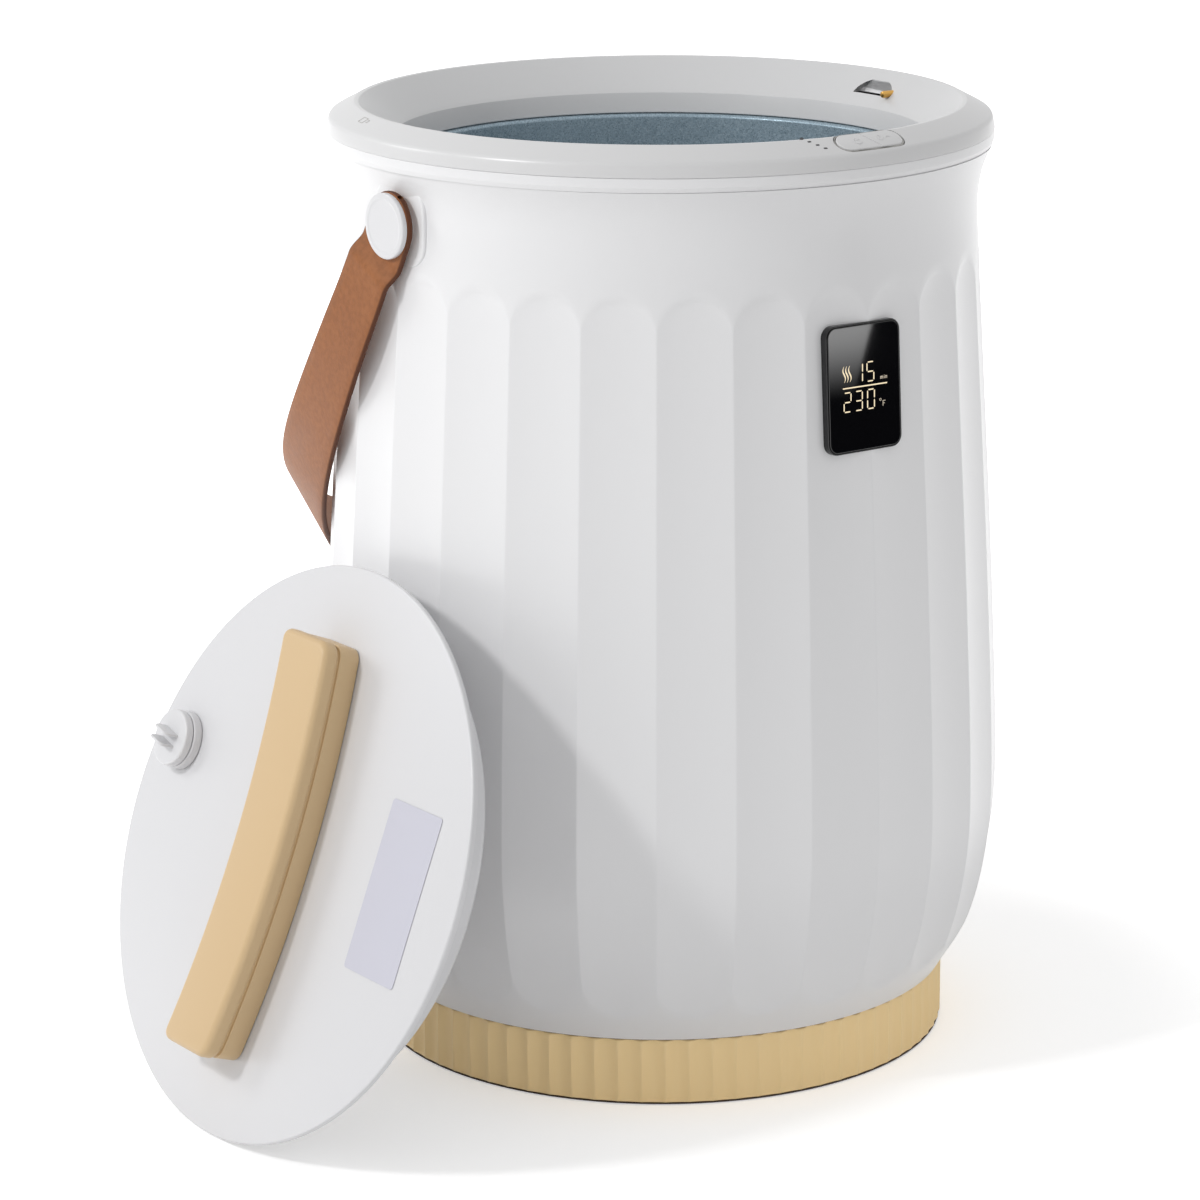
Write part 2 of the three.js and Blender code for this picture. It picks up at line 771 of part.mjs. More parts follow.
// Four light rods that end just under the slope's surface, joined by a bar behind it.
function buildIndicatorGuide() {
  const { pastPill, barLength, barWidth, barThickness, barDrop, radius, sunk } = indicator;
  const azimuth = azimuthPastPill(pastPill);
  const height = rimHeight - barDrop;
  const [[, first], [, last]] = [indicatorPlaces[0], indicatorPlaces[indicatorPlaces.length - 1]];
  const middle = crestRadius + (first + last) / 2;
  const bar = moved(slab(barWidth, barThickness, barLength), radialPlace(azimuth, middle, height));
  return join(bar, ...indicatorRods(radius, -sunk));
}

// A half-moon prism that runs outwards through the funnel wall at the lid pin.
function pocketPrism(growth, from, to) {
  const points = [];
  for (let k = 0; k <= pocket.steps; k += 1) {
    const angle = (k / pocket.steps) * Math.PI;
    const x = (pocket.halfWidth + growth) * Math.cos(angle);
    points.push(new THREE.Vector2(x, (pocket.height + growth) * Math.sin(angle) - growth));
  }
  return moved(raised(points, from, to), radialPlace(pocket.azimuth, 0, rimHeight - pocket.floorDrop));
}

function lidPinHole() {
  const hole = disc(lidPin.radius + gap, ledgeRadius, crestRadius - collar.innerEdge, rodSteps);
  return moved(hole, radialPlace(lidPin.azimuth, 0, rimHeight - lidPin.drop));
}

function buildCollar() {
  const block = collarBlock();
  const boss = disc(bossRadius, mouthHeight, rimHeight, screwSteps);
  const bosses = common(roundCircle(boss, screwCount, bucketScrewCircle, bucketScrewAzimuth), block);
  const bore = disc(screwBore, mouthHeight - overrun, mouthHeight + screw.length / 2, screwSteps);
  const backEnd = crestRadius - pocket.back;
  const backing = common(pocketPrism(pocket.wall, ledgeRadius, backEnd + pocket.wall), block);
  return cut(
    join(collarWall(), bosses, backing, buttonBoardPost(-1), buttonBoardPost(1)),
    roundCircle(bore, screwCount, bucketScrewCircle, bucketScrewAzimuth),
    pocketPrism(0, bucketRadius, backEnd),
    pill(button.frameWidth + gap, -button.recess, button.proud + overrun),
    lidPinHole(),
    ...indicatorRods(indicator.radius + gap, overrun),
  );
}

function buildBead() {
  const inner = beadRadius - bead.width;
  const body = lathe(
    [
      [beadRadius - bead.underTuck, beadBottom],
      [beadRadius, beadBottom + beadHeight / 2],
      [beadRadius - bead.tuck, beadTop],
      [inner, beadTop],
      [inner, beadBottom],
    ],
    shellSteps,
  );
  const start = inner * Math.cos(bead.notchAngle) - overrun;
  const outline = [-1, 1].flatMap((side) => {
    const halfWidth = side * inner * Math.sin(bead.notchAngle);
    const ends = [start, inner + bead.notchDepth].map((out) => new THREE.Vector2(halfWidth, out));
    return side < 0 ? ends : ends.reverse();
  });
  const notch = raised(outline, beadBottom - overrun, beadTop + overrun).rotateZ(Math.PI + button.azimuth);
  return cut(body, notch);
}

// Everything that the collar carries at its slope

function buildButtonFrame() {
  return cut(
    pill(button.frameWidth, -button.frameDepth, 0),
    pill(gap, -button.frameDepth - overrun, overrun),
  );
}

// A bent bar under a button, from one place along the rim to another.
function bentBar(start, end, low, high, bottom, top) {
  const outline = [];
  for (let k = 0; k <= button.steps; k += 1) {
    const share = k / button.steps;
    outline.push(new THREE.Vector2(start + (end - start) * share, low));
  }
  for (let k = 0; k <= button.steps; k += 1) {
    const share = k / button.steps;
    outline.push(new THREE.Vector2(end + (start - end) * share, high));
  }
  return bentOntoRim(raised(outline, bottom, top));
}

function buildButton(side) {
  const { length, proud, face, depth, bodyLow, bodyHigh, bodyInset } = button;
  const { tabThickness, tabReach, tabLow, tabHigh } = button;
  const bodyEnd = length / 2 - bodyInset;
  const body = bentBar(-bodyEnd, bodyEnd, bodyLow, bodyHigh, -depth, -face / 2);
  const tabEnd = length / 2 + tabReach;
  const tab = bentBar(-tabEnd, tabEnd, tabLow, tabHigh, -depth, tabThickness - depth);
  const stem = disc(button.stemRadius, -depth - button.stemLength, -face, rodSteps / 2);
  const half = common(join(pill(0, -face, proud), body, tab), buttonHalf(side));
  return join(half, moved(shifted(stem, side * stemPlace, 0, 0), slopePlace));
}

function buildButtonBoard() {
  const { endRoom, width, thickness, towardsCrest } = buttonBoard;
  const length = 2 * (postPlace + endRoom);
  const sheet = shifted(slab(length, width, thickness), 0, towardsCrest, -boardDepth - thickness / 2);
  const bore = disc(boardPost.pin + gap, -boardDepth - thickness - overrun, 0, screwSteps);
  const bores = [-1, 1].map((side) => shifted(bore, side * postPlace, boardPost.towardsCrest, 0));
  return moved(cut(sheet, ...bores), slopePlace);
}

function buildTactSwitch(side) {
  const { side: width, height } = tactSwitch;
  const body = slab(width, width, height);
  return moved(shifted(body, side * stemPlace, 0, gap + height / 2 - boardDepth), slopePlace);
}

function buildLidPin() {
  const { radius, tip, inside, flange, flangeThickness } = lidPin;
  const start = crestRadius - tip;
  const end = crestRadius - inside;
  const profile = [
    [0, start],
    [radius * tipShare, start],
    [radius, start + radius],
    [radius, end],
    [flange, end],
    [flange, end + flangeThickness],
    [0, end + flangeThickness],
  ];
  return moved(lathe(profile, rodSteps), radialPlace(lidPin.azimuth, 0, rimHeight - lidPin.drop));
}

function buildLidSwitch() {
  const { width, depth, height, travelRoom } = lidSwitch;
  const face = crestRadius - lidPin.inside + lidPin.flangeThickness + travelRoom;
  const box = shifted(slab(width, height, depth), 0, beadTop + gap + height / 2, face + depth / 2);
  return moved(box, radialPlace(lidPin.azimuth, 0, 0));
}

// The metal bucket and its heater

function buildBucket() {
  const { wall, flange, corner, bottom, cornerSteps } = bucket;
  const inside = [];
  const outside = [];
  for (let k = 0; k <= cornerSteps; k += 1) {
    const angle = (k / cornerSteps) * quarterTurn;
    const [across, down] = [1 - Math.sin(angle), 1 - Math.cos(angle)];
    inside.push([bucketRadius - corner * (1 - Math.cos(angle)), bottom + wall + corner * across]);
    outside.push([bucketOuter - (corner + wall) * down, bottom + (corner + wall) * across]);
  }
  const profile = [
    [0, bottom],
    ...outside.reverse(),
    [bucketOuter, bucketTop - wall],
    [bucketOuter + flange, bucketTop - wall],
    [bucketOuter + flange, bucketTop],
    [bucketRadius, bucketTop],
    ...inside,
    [0, bottom + wall],
  ];
  const bore = disc(screwBore, bucketTop - overrun, bucketTop + overrun, screwSteps);
  const bores = roundCircle(bore, screwCount, bucketScrewCircle, bucketScrewAzimuth);
  return cut(lathe(profile, innerSteps), bores);
}

function buildSleeve(inner, { thickness, bottomShare, topShare }) {
  const bottom = bucket.bottom + bottomShare * bucketDepth;
  const top = bucket.bottom + topShare * bucketDepth;
  return tube(inner, inner + thickness, bottom, top, innerSteps);
}

function buildBand(share) {
  const middle = bucket.bottom + share * bucketDepth;
  const outer = bandInner + band.thickness;
  return tube(bandInner, outer, middle - band.width / 2, middle + band.width / 2, innerSteps);
}

function buildThermostat() {
  const { radius, height, x, steps } = thermostat;
  const top = bucket.bottom - gap;
  return shifted(disc(radius, top - height, top, steps), x, 0, 0);
}

function buildFuse() {
  const rod = disc(fuse.radius, -fuse.length / 2, fuse.length / 2, rodSteps / 2).rotateX(quarterTurn);
  return shifted(rod, fuse.x, 0, bucket.bottom - gap - fuse.radius);
}

// A bent strip that holds the thermostat and the fuse up against the bucket's bottom.
function buildSensorBracket() {
  const { wing, thickness, width } = clip;
  const held = [
    [fuse.x, fuse.radius + gap, 2 * fuse.radius + gap],
    [thermostat.x, thermostat.radius + gap, thermostat.height + gap],
  ];
  const [first] = held[0];
  const [last, lastHalf] = held[1];
  const upper = [[first - held[0][1] - wing, 0]];
  const lower = [[first - held[0][1] - wing, -thickness]];
  held.forEach(([x, half, drop]) => {
    upper.push([x - half, 0], [x - half, -drop], [x + half, -drop], [x + half, 0]);
    const out = half + thickness;
    const down = -drop - thickness;
    lower.push([x - out, -thickness], [x - out, down], [x + out, down], [x + out, -thickness]);
  });
  upper.push([last + lastHalf + wing, 0]);
  lower.push([last + lastHalf + wing, -thickness]);
  const outline = [...upper, ...lower.reverse()].map(([x, z]) => new THREE.Vector2(x, z));
  return shifted(raised(outline, -width / 2, width / 2).rotateX(quarterTurn), 0, 0, bucket.bottom - gap);
}

// The base

const glandPlace = radialPlace(Math.PI, 0, gland.height);

function buildPlate() {
  const sheet = disc(ringRadius - plate.tuck, 0, plateThickness, innerSteps);
  const recess = tube(footInner - gap, footOuter + gap, -overrun, foot.recess, innerSteps);
  const head = disc(screw.head + gap, -overrun, plate.screwPocket, screwSteps);
  const bore = disc(screwBore, -overrun, plateThickness + overrun, screwSteps);
  const holes = roundCircle(join(head, bore), screwCount, baseScrewCircle, baseScrewAzimuth);
  const standoffs = boardCorners().map(([x, y]) => shifted(boardStandoff(), x, y, 0));
  return cut(join(sheet, ...standoffs), recess, holes);
}

// A post of the base plate, with a pin that goes through the main board.
function boardStandoff() {
  const { radius, pin, pinLength } = standoff;
  const shoulder = board.height - gap;
  const profile = [
    [0, plateThickness / 2],
    [radius, plateThickness / 2],
    [radius, shoulder],
    [pin, shoulder],
    [pin, shoulder + pinLength],
    [0, shoulder + pinLength],
  ];
  return lathe(profile, screwSteps);
}

function buildRing() {
  const profile = [
    [ringRadius, ringBottom],
    [ringRadius, ringTop],
    [shelfInner, ringTop],
    [shelfInner, ringTop - ring.shelf],
    [ringInner, ringTop - ring.shelf],
    [ringInner, ringBottom],
  ];
  const body = lathe(profile, 2 * scallopCount, (azimuth, height, k) => {
    return k < 2 ? -ring.scallopDepth * Math.sin((azimuth * scallopCount) / 2) ** 2 : 0;
  });
  const boss = disc(bossRadius, ringBottom, ringTop - ring.shelf / 2, screwSteps);
  const bore = disc(screwBore, ringBottom - overrun, ringTop + overrun, screwSteps);
  const glandHole = disc(gland.neck + gap, ringInner - overrun, ringRadius + overrun, rodSteps);
  return cut(
    join(body, roundCircle(boss, screwCount, baseScrewCircle, baseScrewAzimuth)),
    roundCircle(bore, screwCount, baseScrewCircle, baseScrewAzimuth),
    moved(glandHole, glandPlace),
  );
}

function buildGasket() {
  const outer = footRadius - gasket.tuck;
  const body = tube(footRadius - shell.flangeWidth, outer, gasketBottom, gasketTop, innerSteps);
  const bore = disc(screwBore, gasketBottom - overrun, gasketTop + overrun, screwSteps);
  return cut(body, roundCircle(bore, screwCount, baseScrewCircle, baseScrewAzimuth));
}

// One of the screws on a circle, its head at a height.
function screwOnCircle(length, circle, firstAzimuth, k, height) {
  const [x, y] = onCircle(circle, firstAzimuth + (k / screwCount) * fullTurn);
  return shifted(screwBody(length), x, y, height);
}

function buildBaseScrew(k) {
  const start = plate.screwPocket - gap - screw.headHeight;
  const length = shellBottom + screw.length - screw.bossWall - gap - start;
  return screwOnCircle(length, baseScrewCircle, baseScrewAzimuth, k, start);
}

function buildBucketScrew(k) {
  const start = bucketTop - bucket.wall - gap - screw.headHeight;
  return screwOnCircle(screw.length / 2, bucketScrewCircle, bucketScrewAzimuth, k, start);
}

function buildGland() {
  const seat = ringRadius + gap;
  const start = ringInner - gland.tail;
  const profile = [
    [gland.bore, start],
    [gland.neck, start],
    [gland.neck, seat],
    [gland.radius, seat],
    [gland.radius, seat + gland.flange],
    [gland.bore, seat + gland.flange],
  ];
  return moved(lathe(profile, rodSteps), glandPlace);
}

// Electronics over the base plate

function boardCorners() {
  const x = board.length / 2 - board.inset;
  const y = board.width / 2 - board.inset;
  return [[x, y], [-x, y], [-x, -y], [x, -y]];
}

function buildMainBoard() {
  const middle = board.height + board.thickness / 2;
  const sheet = shifted(slab(board.length, board.width, board.thickness), 0, 0, middle);
  const bore = disc(standoff.pin + gap, 0, board.height + overrun + board.thickness, screwSteps);
  return cut(sheet, ...boardCorners().map(([x, y]) => shifted(bore, x, y, 0)));
}

function onBoard({ size, shares }) {
  const [width, depth, height] = size;
  return shifted(slab(width, depth, height), ...onBoardShares(shares), boardTop + height / 2);
}

function buildCapacitor() {
  const { radius, length, shares } = capacitor;
  const can = disc(radius, -length / 2, length / 2, rodSteps).rotateY(quarterTurn);
  return shifted(can, ...onBoardShares(shares), boardTop + radius);
}

// One of the two wires from the heater film down to the terminal block.
function buildHeaterLead(side) {
  const x = (side * lead.spacing) / 2;
  const [, blockY] = onBoardShares(terminalBlock.shares);
  const filmBottom = bucket.bottom + film.bottomShare * bucketDepth;
  const from = new THREE.Vector3(x, filmInner + lead.radius + gap, filmBottom - gap);
  const to = new THREE.Vector3(x, blockY, boardTop + terminalBlock.size[2] + lead.endRoom);
  const points = leadRouteShares.map(([inwards, down]) => {
    return new THREE.Vector3(x, from.y + (to.y - from.y) * inwards, from.z + (to.z - from.z) * down);
  });
  const section = [];
  for (let k = 0; k < lead.sides; k += 1) {
    const angle = (k / lead.sides) * fullTurn;
    section.push(new THREE.Vector2(lead.radius * Math.cos(angle), lead.radius * Math.sin(angle)));
  }
  const extrudePath = new THREE.CatmullRomCurve3(points);
  return closed(new THREE.ExtrudeGeometry(new THREE.Shape(section), { steps: lead.steps, extrudePath }));
}

// The display, drawn in its own frame with the glass's front at local z 0

function buildBezel() {
  const { width, height, corner, cornerSteps, glass } = display;
  const { lipTuck, tubDepth, cavityInset } = display;
  const tub = raised(tubOutline(0), -tubDepth, -lipTuck);
  const recess = roundedOutline(width + 2 * gap, height + 2 * gap, corner, cornerSteps);
  const cavity = roundedOutline(width - 2 * cavityInset, height - 2 * cavityInset, corner, cornerSteps);
  return cut(tub, raised(recess, -glass - gap, overrun), raised(cavity, -tubDepth - overrun, overrun));
}

function buildDisplayWindow() {
  const { width, height, corner, cornerSteps, glass } = display;
  return raised(roundedOutline(width, height, corner, cornerSteps), -glass, 0);
}

// A sheet that fits in the bezel's cavity.
function inCavity(top, thickness) {
  const inset = 2 * (display.cavityInset + gap);
  const { width, height, corner, cornerSteps } = display;
  const outline = roundedOutline(width - inset, height - inset, corner, cornerSteps);
  return raised(outline, top - thickness, top);
}

function buildDisplayPanel() {
  return inCavity(-display.glass - gap, display.panel);
}

function buildDisplayBoard() {
  return inCavity(-display.glass - display.panel - 2 * gap, display.board);
}

// The strap and its pivots. Pivot pieces are drawn with local +Z out along X, from the axis of the bucket.

function buildCap(side) {
  const { cap, capSkin, capBevel, boltHead, boltHeadHeight } = pivot;
  const recessTop = capInner + boltHeadHeight + gap;
  const top = recessTop + capSkin;
  const profile = [
    [0, recessTop],
    [boltHead + gap, recessTop],
    [boltHead + gap, capInner],
    [cap, capInner],
    [cap, top - capBevel],
    [cap - capBevel, top],
    [0, top],
  ];
  return moved(lathe(profile, capSteps), sidePlace(side));
}

const nutOuter = neckRadius - shell.fluteDepth - shell.wall - pivot.wallRoom;

function buildBolt(side) {
  const { bolt, boltHead, boltHeadHeight, nut, boltEnd } = pivot;
  const end = nutOuter - nut - boltEnd;
  const profile = [
    [0, end],
    [bolt, end],
    [bolt, capInner],
    [boltHead, capInner],
    [boltHead, capInner + boltHeadHeight],
    [0, capInner + boltHeadHeight],
  ];
  return moved(lathe(profile, rodSteps), sidePlace(side));
}

function buildNut(side) {
  const hexagon = disc(pivot.nutRadius, nutOuter - pivot.nut, nutOuter, hexagonSides);
  const bore = disc(pivot.bolt + gap, nutOuter - pivot.nut - overrun, nutOuter + overrun, rodSteps);
  return moved(cut(hexagon, bore), sidePlace(side));
}

// The strap's middle line: how far a station's middle lies from x 0 and from the pivots' axis.
function strapStation(station) {
  const { thickness, straight, bowStart, bowEnd } = strap;
  const outermost = strapClear + thickness / 2;
  if (station.turn > 0) {
    const angle = station.turn * quarterTurn;
    return { x: outermost * Math.cos(angle), away: straight + (strapReach - straight) * Math.sin(angle) };
  }
  const bow = THREE.MathUtils.smoothstep(station.away, bowStart, bowEnd);
  return { x: strapSeat + thickness / 2 + (strapClear - strapSeat) * bow, away: station.away };
}

// Middle, width direction and half width of the strap at each station from the left end to the right one.
function strapFrames() {
  const { width, middleWidth, endSteps, turnSteps, straight, endTip } = strap;
  const stations = [];
  for (let k = 0; k < endSteps; k += 1) {
    stations.push({ away: (-width / 2) * Math.cos((k / endSteps) * quarterTurn), turn: 0 });
  }
  strapStraightShares.forEach((share) => stations.push({ away: share * straight, turn: 0 }));
  for (let k = 0; k <= turnSteps; k += 1) {
    stations.push({ away: straight, turn: k / turnSteps || endTip / strapReach });
  }
  const half = stations.map((station) => {
    const { x, away } = strapStation(station);
    const share = Math.max(0, away / strapReach);
    const grown = THREE.MathUtils.smoothstep(share, 0, 1);
    const angle = strap.hangAngle + (strap.middleAngle - strap.hangAngle) * grown;
    const middle = new THREE.Vector3(-x, away * Math.sin(angle), -away * Math.cos(angle));
    const across = new THREE.Vector3(0, -Math.cos(angle), -Math.sin(angle));
    const round = Math.sqrt(Math.max(0, (width / 2) ** 2 - Math.min(away, 0) ** 2));
    const halfWidth = away < 0 ? Math.max(round, endTip) : (width + (middleWidth - width) * grown) / 2;
    return { middle, across, halfWidth };
  });
  const mirror = new THREE.Vector3(-1, 1, 1);
  const otherHalf = half.slice(0, -1).reverse().map(({ middle, across, halfWidth }) => ({
    middle: middle.clone().multiply(mirror),
    across: across.clone().multiply(mirror),
    halfWidth,
  }));
  return [...half, ...otherHalf];
}

function buildStrap() {
  const frames = strapFrames();
  const geometry = new THREE.BoxGeometry(1, 1, frames.length - 1, 1, 1, frames.length - 1);
  const position = geometry.attributes.position;
  for (let i = 0; i < position.count; i += 1) {
    const k = Math.round(position.getZ(i) + (frames.length - 1) / 2);
    const before = frames[Math.max(k - 1, 0)].middle;
    const after = frames[Math.min(k + 1, frames.length - 1)].middle;
    const along = after.clone().sub(before).normalize();
    const across = frames[k].across.clone();
    across.addScaledVector(along, -across.dot(along)).normalize();
    const out = along.clone().cross(across);
    const corner = frames[k].middle.clone();
    corner.addScaledVector(across, 2 * position.getX(i) * frames[k].halfWidth);
    corner.addScaledVector(out, position.getY(i) * strap.thickness);
    position.setXYZ(i, corner.x, corner.y, corner.z + pivotHeight);
  }
  const holes = [-1, 1].map((side) =>
    moved(disc(pivot.bolt + gap, spacerOuter - overrun, capInner + overrun, rodSteps), sidePlace(side)),
  );
  return cut(closed(geometry), ...holes);
}

// The lid

function buildLidCover() {
  const { radius, edge, bevel } = lid;
  const profile = [
    [0, -edge],
    [radius - bevel, -edge],
    [radius, bevel - edge],
    [radius, -bevel],
    [radius - bevel, 0],
    [0, 0],
  ];
  const vent = shifted(disc(scent.bore, -edge - overrun, overrun, scent.steps), scentX, scentY, 0);
  const bores = atLidScrews(disc(screwBore, -edge - overrun, overrun, screwSteps));
  return cut(lathe(profile, shellSteps), vent, ...bores);
}

// How far up the lid each handle screw is.
const lidScrewPlaces = [-1, 1].map((side) => side * (lidHandle.length / 2 - lidHandle.screwFromEnd));

function atLidScrews(geometry) {
  return lidScrewPlaces.map((y) => shifted(geometry, 0, y, 0));
}

function buildLiner() {
  const { depth, wall, bevel } = liner;
  const top = -lid.edge - gap;
  const profile = [
    [0, -depth],
    [linerRadius - bevel, -depth],
    [linerRadius, bevel - depth],
    [linerRadius, top],
    [linerRadius - wall, top],
    [linerRadius - wall, bevel - depth],
    [linerRadius - bevel - wall / 2, wall - depth],
    [0, wall - depth],
  ];
  return lathe(profile, innerSteps);
}

function buildLidInsulation() {
  const bottom = liner.wall + liner.bevel - liner.depth;
  const body = disc(linerRadius - liner.wall - 2 * gap, bottom, -lid.edge - gap, innerSteps);
  const pocketDepth = lid.edge + screw.headHeight + 3 * gap;
  const pockets = atLidScrews(disc(screw.head + gap, -pocketDepth, 0, screwSteps));
  const well = shifted(disc(scent.bore, -scentFoot - gap, 0, scent.steps), scentX, scentY, 0);
  return cut(body, ...pockets, well);
}

function buildLidSeal() {
  const top = -lid.edge - gap;
  return tube(linerRadius + gap, linerRadius + seal.width, top - seal.height, top, innerSteps);
}

// The handle bar's outline: straight ends with round corners, bowed sides.
function handleOutline(inset) {
  const { length, width, bow, side, corner, cornerSteps, sideSteps } = lidHandle;
  const square = roundedOutline(width - 2 * inset, length - 2 * inset, corner, cornerSteps);
  const points = [];
  square.forEach((point, k) => {
    points.push(point);
    const next = square[(k + 1) % square.length];
    if (Math.abs(next.y - point.y) < length / 2) return;
    for (let step = 1; step < sideSteps; step += 1) {
      points.push(point.clone().lerp(next, step / sideSteps));
    }
  });
  return points.map(({ x, y }) => new THREE.Vector2(x + side - bow * ((2 * y) / length) ** 2, y));
}

// The base narrows down to its foot on the lid.
function buildHandleBase() {
  const { baseInset, parting, side, bow, length, footDraft } = lidHandle;
  const bar = raised(handleOutline(baseInset), gap, parting);
  const position = bar.attributes.position;
  for (let i = 0; i < position.count; i += 1) {
    const [x, y, z] = [position.getX(i), position.getY(i), position.getZ(i)];
    const middle = side - bow * ((2 * y) / length) ** 2;
    if (z < parting / 2) position.setX(i, x - footDraft * (x - middle));
  }
  const bores = atLidScrews(disc(screwBore, 0, lidHandle.screwDepth + gap, screwSteps));
  return cut(bar, ...bores);
}

function buildHandleGrip() {
  const { parting, height, bevel } = lidHandle;
  const options = {
    depth: height - parting - gap - bevel,
    steps: 1,
    bevelThickness: bevel,
    bevelSize: bevel,
    bevelOffset: -bevel,
    bevelSegments: 2,
  };
  const bar = closed(new THREE.ExtrudeGeometry(new THREE.Shape(handleOutline(0)), options));
  const lowered = shifted(bar, 0, 0, parting + gap);
  const below = slab(2 * lidHandle.width, 2 * lidHandle.length, 2 * bevel);
  return cut(lowered, shifted(below, 0, 0, parting + gap - bevel));
}

function buildHandleScrews() {
  const start = -lid.edge - gap - screw.headHeight;
  return atLidScrews(shifted(screwBody(lidHandle.screwDepth - start), 0, 0, start));
}

function buildScentCollar() {
  return tube(scent.bore, scent.radius, gap, gap + scent.collarHeight, scent.steps);
}

function buildScentCap() {
  const { radius, capInset, bore, skirtWall, skirtDepth, capHeight } = scent;
  const bottom = scent.collarHeight + 2 * gap;
  const top = bottom + capHeight;
  const skirt = bore - gap;
  const profile = [
    [0, bottom],
    [skirt - skirtWall, bottom],
    [skirt - skirtWall, bottom - skirtDepth],
    [skirt, bottom - skirtDepth],
    [skirt, bottom],
    [radius - capInset, bottom],
    [radius - capInset, top],
    [0, top],
  ];
  return join(lathe(profile, scent.steps), scentFin(-1, top), scentFin(1, top));
}

// One of the two fins that turn the cap, sunk into it by its own thickness.
function scentFin(side, capTop) {
  const { fin, finLength, finHeight, finSpacing, finAzimuth } = scent;
  const plain = slab(finLength, fin, finHeight + fin);
  return shifted(plain, 0, (side * finSpacing) / 2, capTop + (finHeight - fin) / 2).rotateZ(finAzimuth);
}

function buildScentPad() {
  const radius = scent.bore - 2 * gap - scent.skirtWall;
  return disc(radius, -scentFoot, scent.padDepth - scentFoot, scent.steps / 2);
}

// The lid's place when it stands on its lower edge, that far out from the axis.
function lidPlaceAt(reach) {
  const { radius, edge, bevel, azimuth, tilt, lift, sideways } = lid;
  const height = radius * Math.cos(tilt) + (edge - bevel) * Math.sin(tilt) + lift;
  const [outX, outY] = onCircle(sideways, azimuth);
  const aside = new THREE.Matrix4().makeTranslation(-outY, outX, 0);
  return facePlace(azimuth, reach, height, tilt).premultiply(aside);
}

// Moves the lid up to the shell until the back edge of its liner leans on it, a gap away.
function leaningPlace() {
  const { depth, bevel } = liner;
  const backEdge = [[linerRadius - bevel, -depth], [linerRadius, bevel - depth]];
  let reach = bellyRadius + lid.radius;
  for (let k = 0; k < lid.leanSteps; k += 1) {
    const place = lidPlaceAt(reach);
    const rooms = backEdge.flatMap(([radius, z]) => {
      const ring = new THREE.CircleGeometry(radius, lid.leanPlaces).translate(0, 0, z).applyMatrix4(place);
      const position = ring.attributes.position;
      return Array.from({ length: lid.leanPlaces }, (_, i) => {
        const [x, y, height] = [position.getX(i + 1), position.getY(i + 1), position.getZ(i + 1)];
        return Math.hypot(x, y) - shellRadius(Math.atan2(x, -y), height);
      });
    });
    reach -= Math.min(...rooms) - gap;
  }
  return lidPlaceAt(reach);
}

// Assembly

const warmer = new THREE.Group();

function add(name, geometry, finishName, parent = warmer) {
  const mesh = new THREE.Mesh(geometry, finish(finishName));
  mesh.name = name;
  parent.add(mesh);
}

function framed(matrix, parent = warmer) {
  const group = new THREE.Group();
  matrix.decompose(group.position, group.quaternion, group.scale);
  parent.add(group);
  return group;
}

add("outer_shell", buildShell(), "white");
add("rim_collar", buildCollar(), "white");
add("rim_bead", buildBead(), "white");
add("inner_bucket", buildBucket(), "coatedMetal");
add("heater_film", buildSleeve(filmInner, film), "copperFilm");
add("insulation_blanket", buildSleeve(blanketInner, blanket), "fibre");
Object.entries(bandShares).forEach(([name, share]) => add(name, buildBand(share), "steel"));
add("heater_lead_left", buildHeaterLead(-1), "silicone");
add("heater_lead_right", buildHeaterLead(1), "silicone");
add("thermostat", buildThermostat(), "darkGrey");
add("thermal_fuse", buildFuse(), "silicone");
add("sensor_bracket", buildSensorBracket(), "steel");
add("base_plate", buildPlate(), "darkBrown");
add("base_ring", buildRing(), "butter");
add("base_gasket", buildGasket(), "darkBrown");
for (let k = 0; k < screwCount; k += 1) {
  add(`base_screw_${k + 1}`, buildBaseScrew(k), "steel");
  add(`bucket_screw_${k + 1}`, buildBucketScrew(k), "steel");
}
add("rubber_foot", tube(footInner, footOuter, 0, foot.recess - gap, innerSteps), "rubber");
add("cord_gland", buildGland(), "rubber");
add("main_board", buildMainBoard(), "circuit");
add("relay", onBoard(relay), "blue");
add("transformer", onBoard(transformer), "darkGrey");
add("terminal_block", onBoard(terminalBlock), "blue");
add("capacitor", buildCapacitor(), "blackGloss");

const displayGroup = framed(displayPlace);
add("display_bezel", buildBezel(), "blackGloss", displayGroup);
add("display_window", buildDisplayWindow(), "blackGloss", displayGroup);
add("display_panel", buildDisplayPanel(), "darkGrey", displayGroup);
add("display_board", buildDisplayBoard(), "circuit", displayGroup);

add("button_frame", buildButtonFrame(), "white");
add("power_button", buildButton(-1), "white");
add("mode_button", buildButton(1), "white");
add("button_board", buildButtonBoard(), "circuit");
add("power_switch", buildTactSwitch(-1), "darkGrey");
add("mode_switch", buildTactSwitch(1), "darkGrey");
add("indicator_guide", buildIndicatorGuide(), "darkGrey");
add("lid_pin", buildLidPin(), "brass");
add("lid_switch", buildLidSwitch(), "darkGrey");

add("strap_handle", buildStrap(), "leather");
Object.entries({ left: -1, right: 1 }).forEach(([name, side]) => {
  add(`pivot_cap_${name}`, buildCap(side), "white");
  add(`pivot_bolt_${name}`, buildBolt(side), "steel");
  add(`pivot_nut_${name}`, buildNut(side), "steel");
});

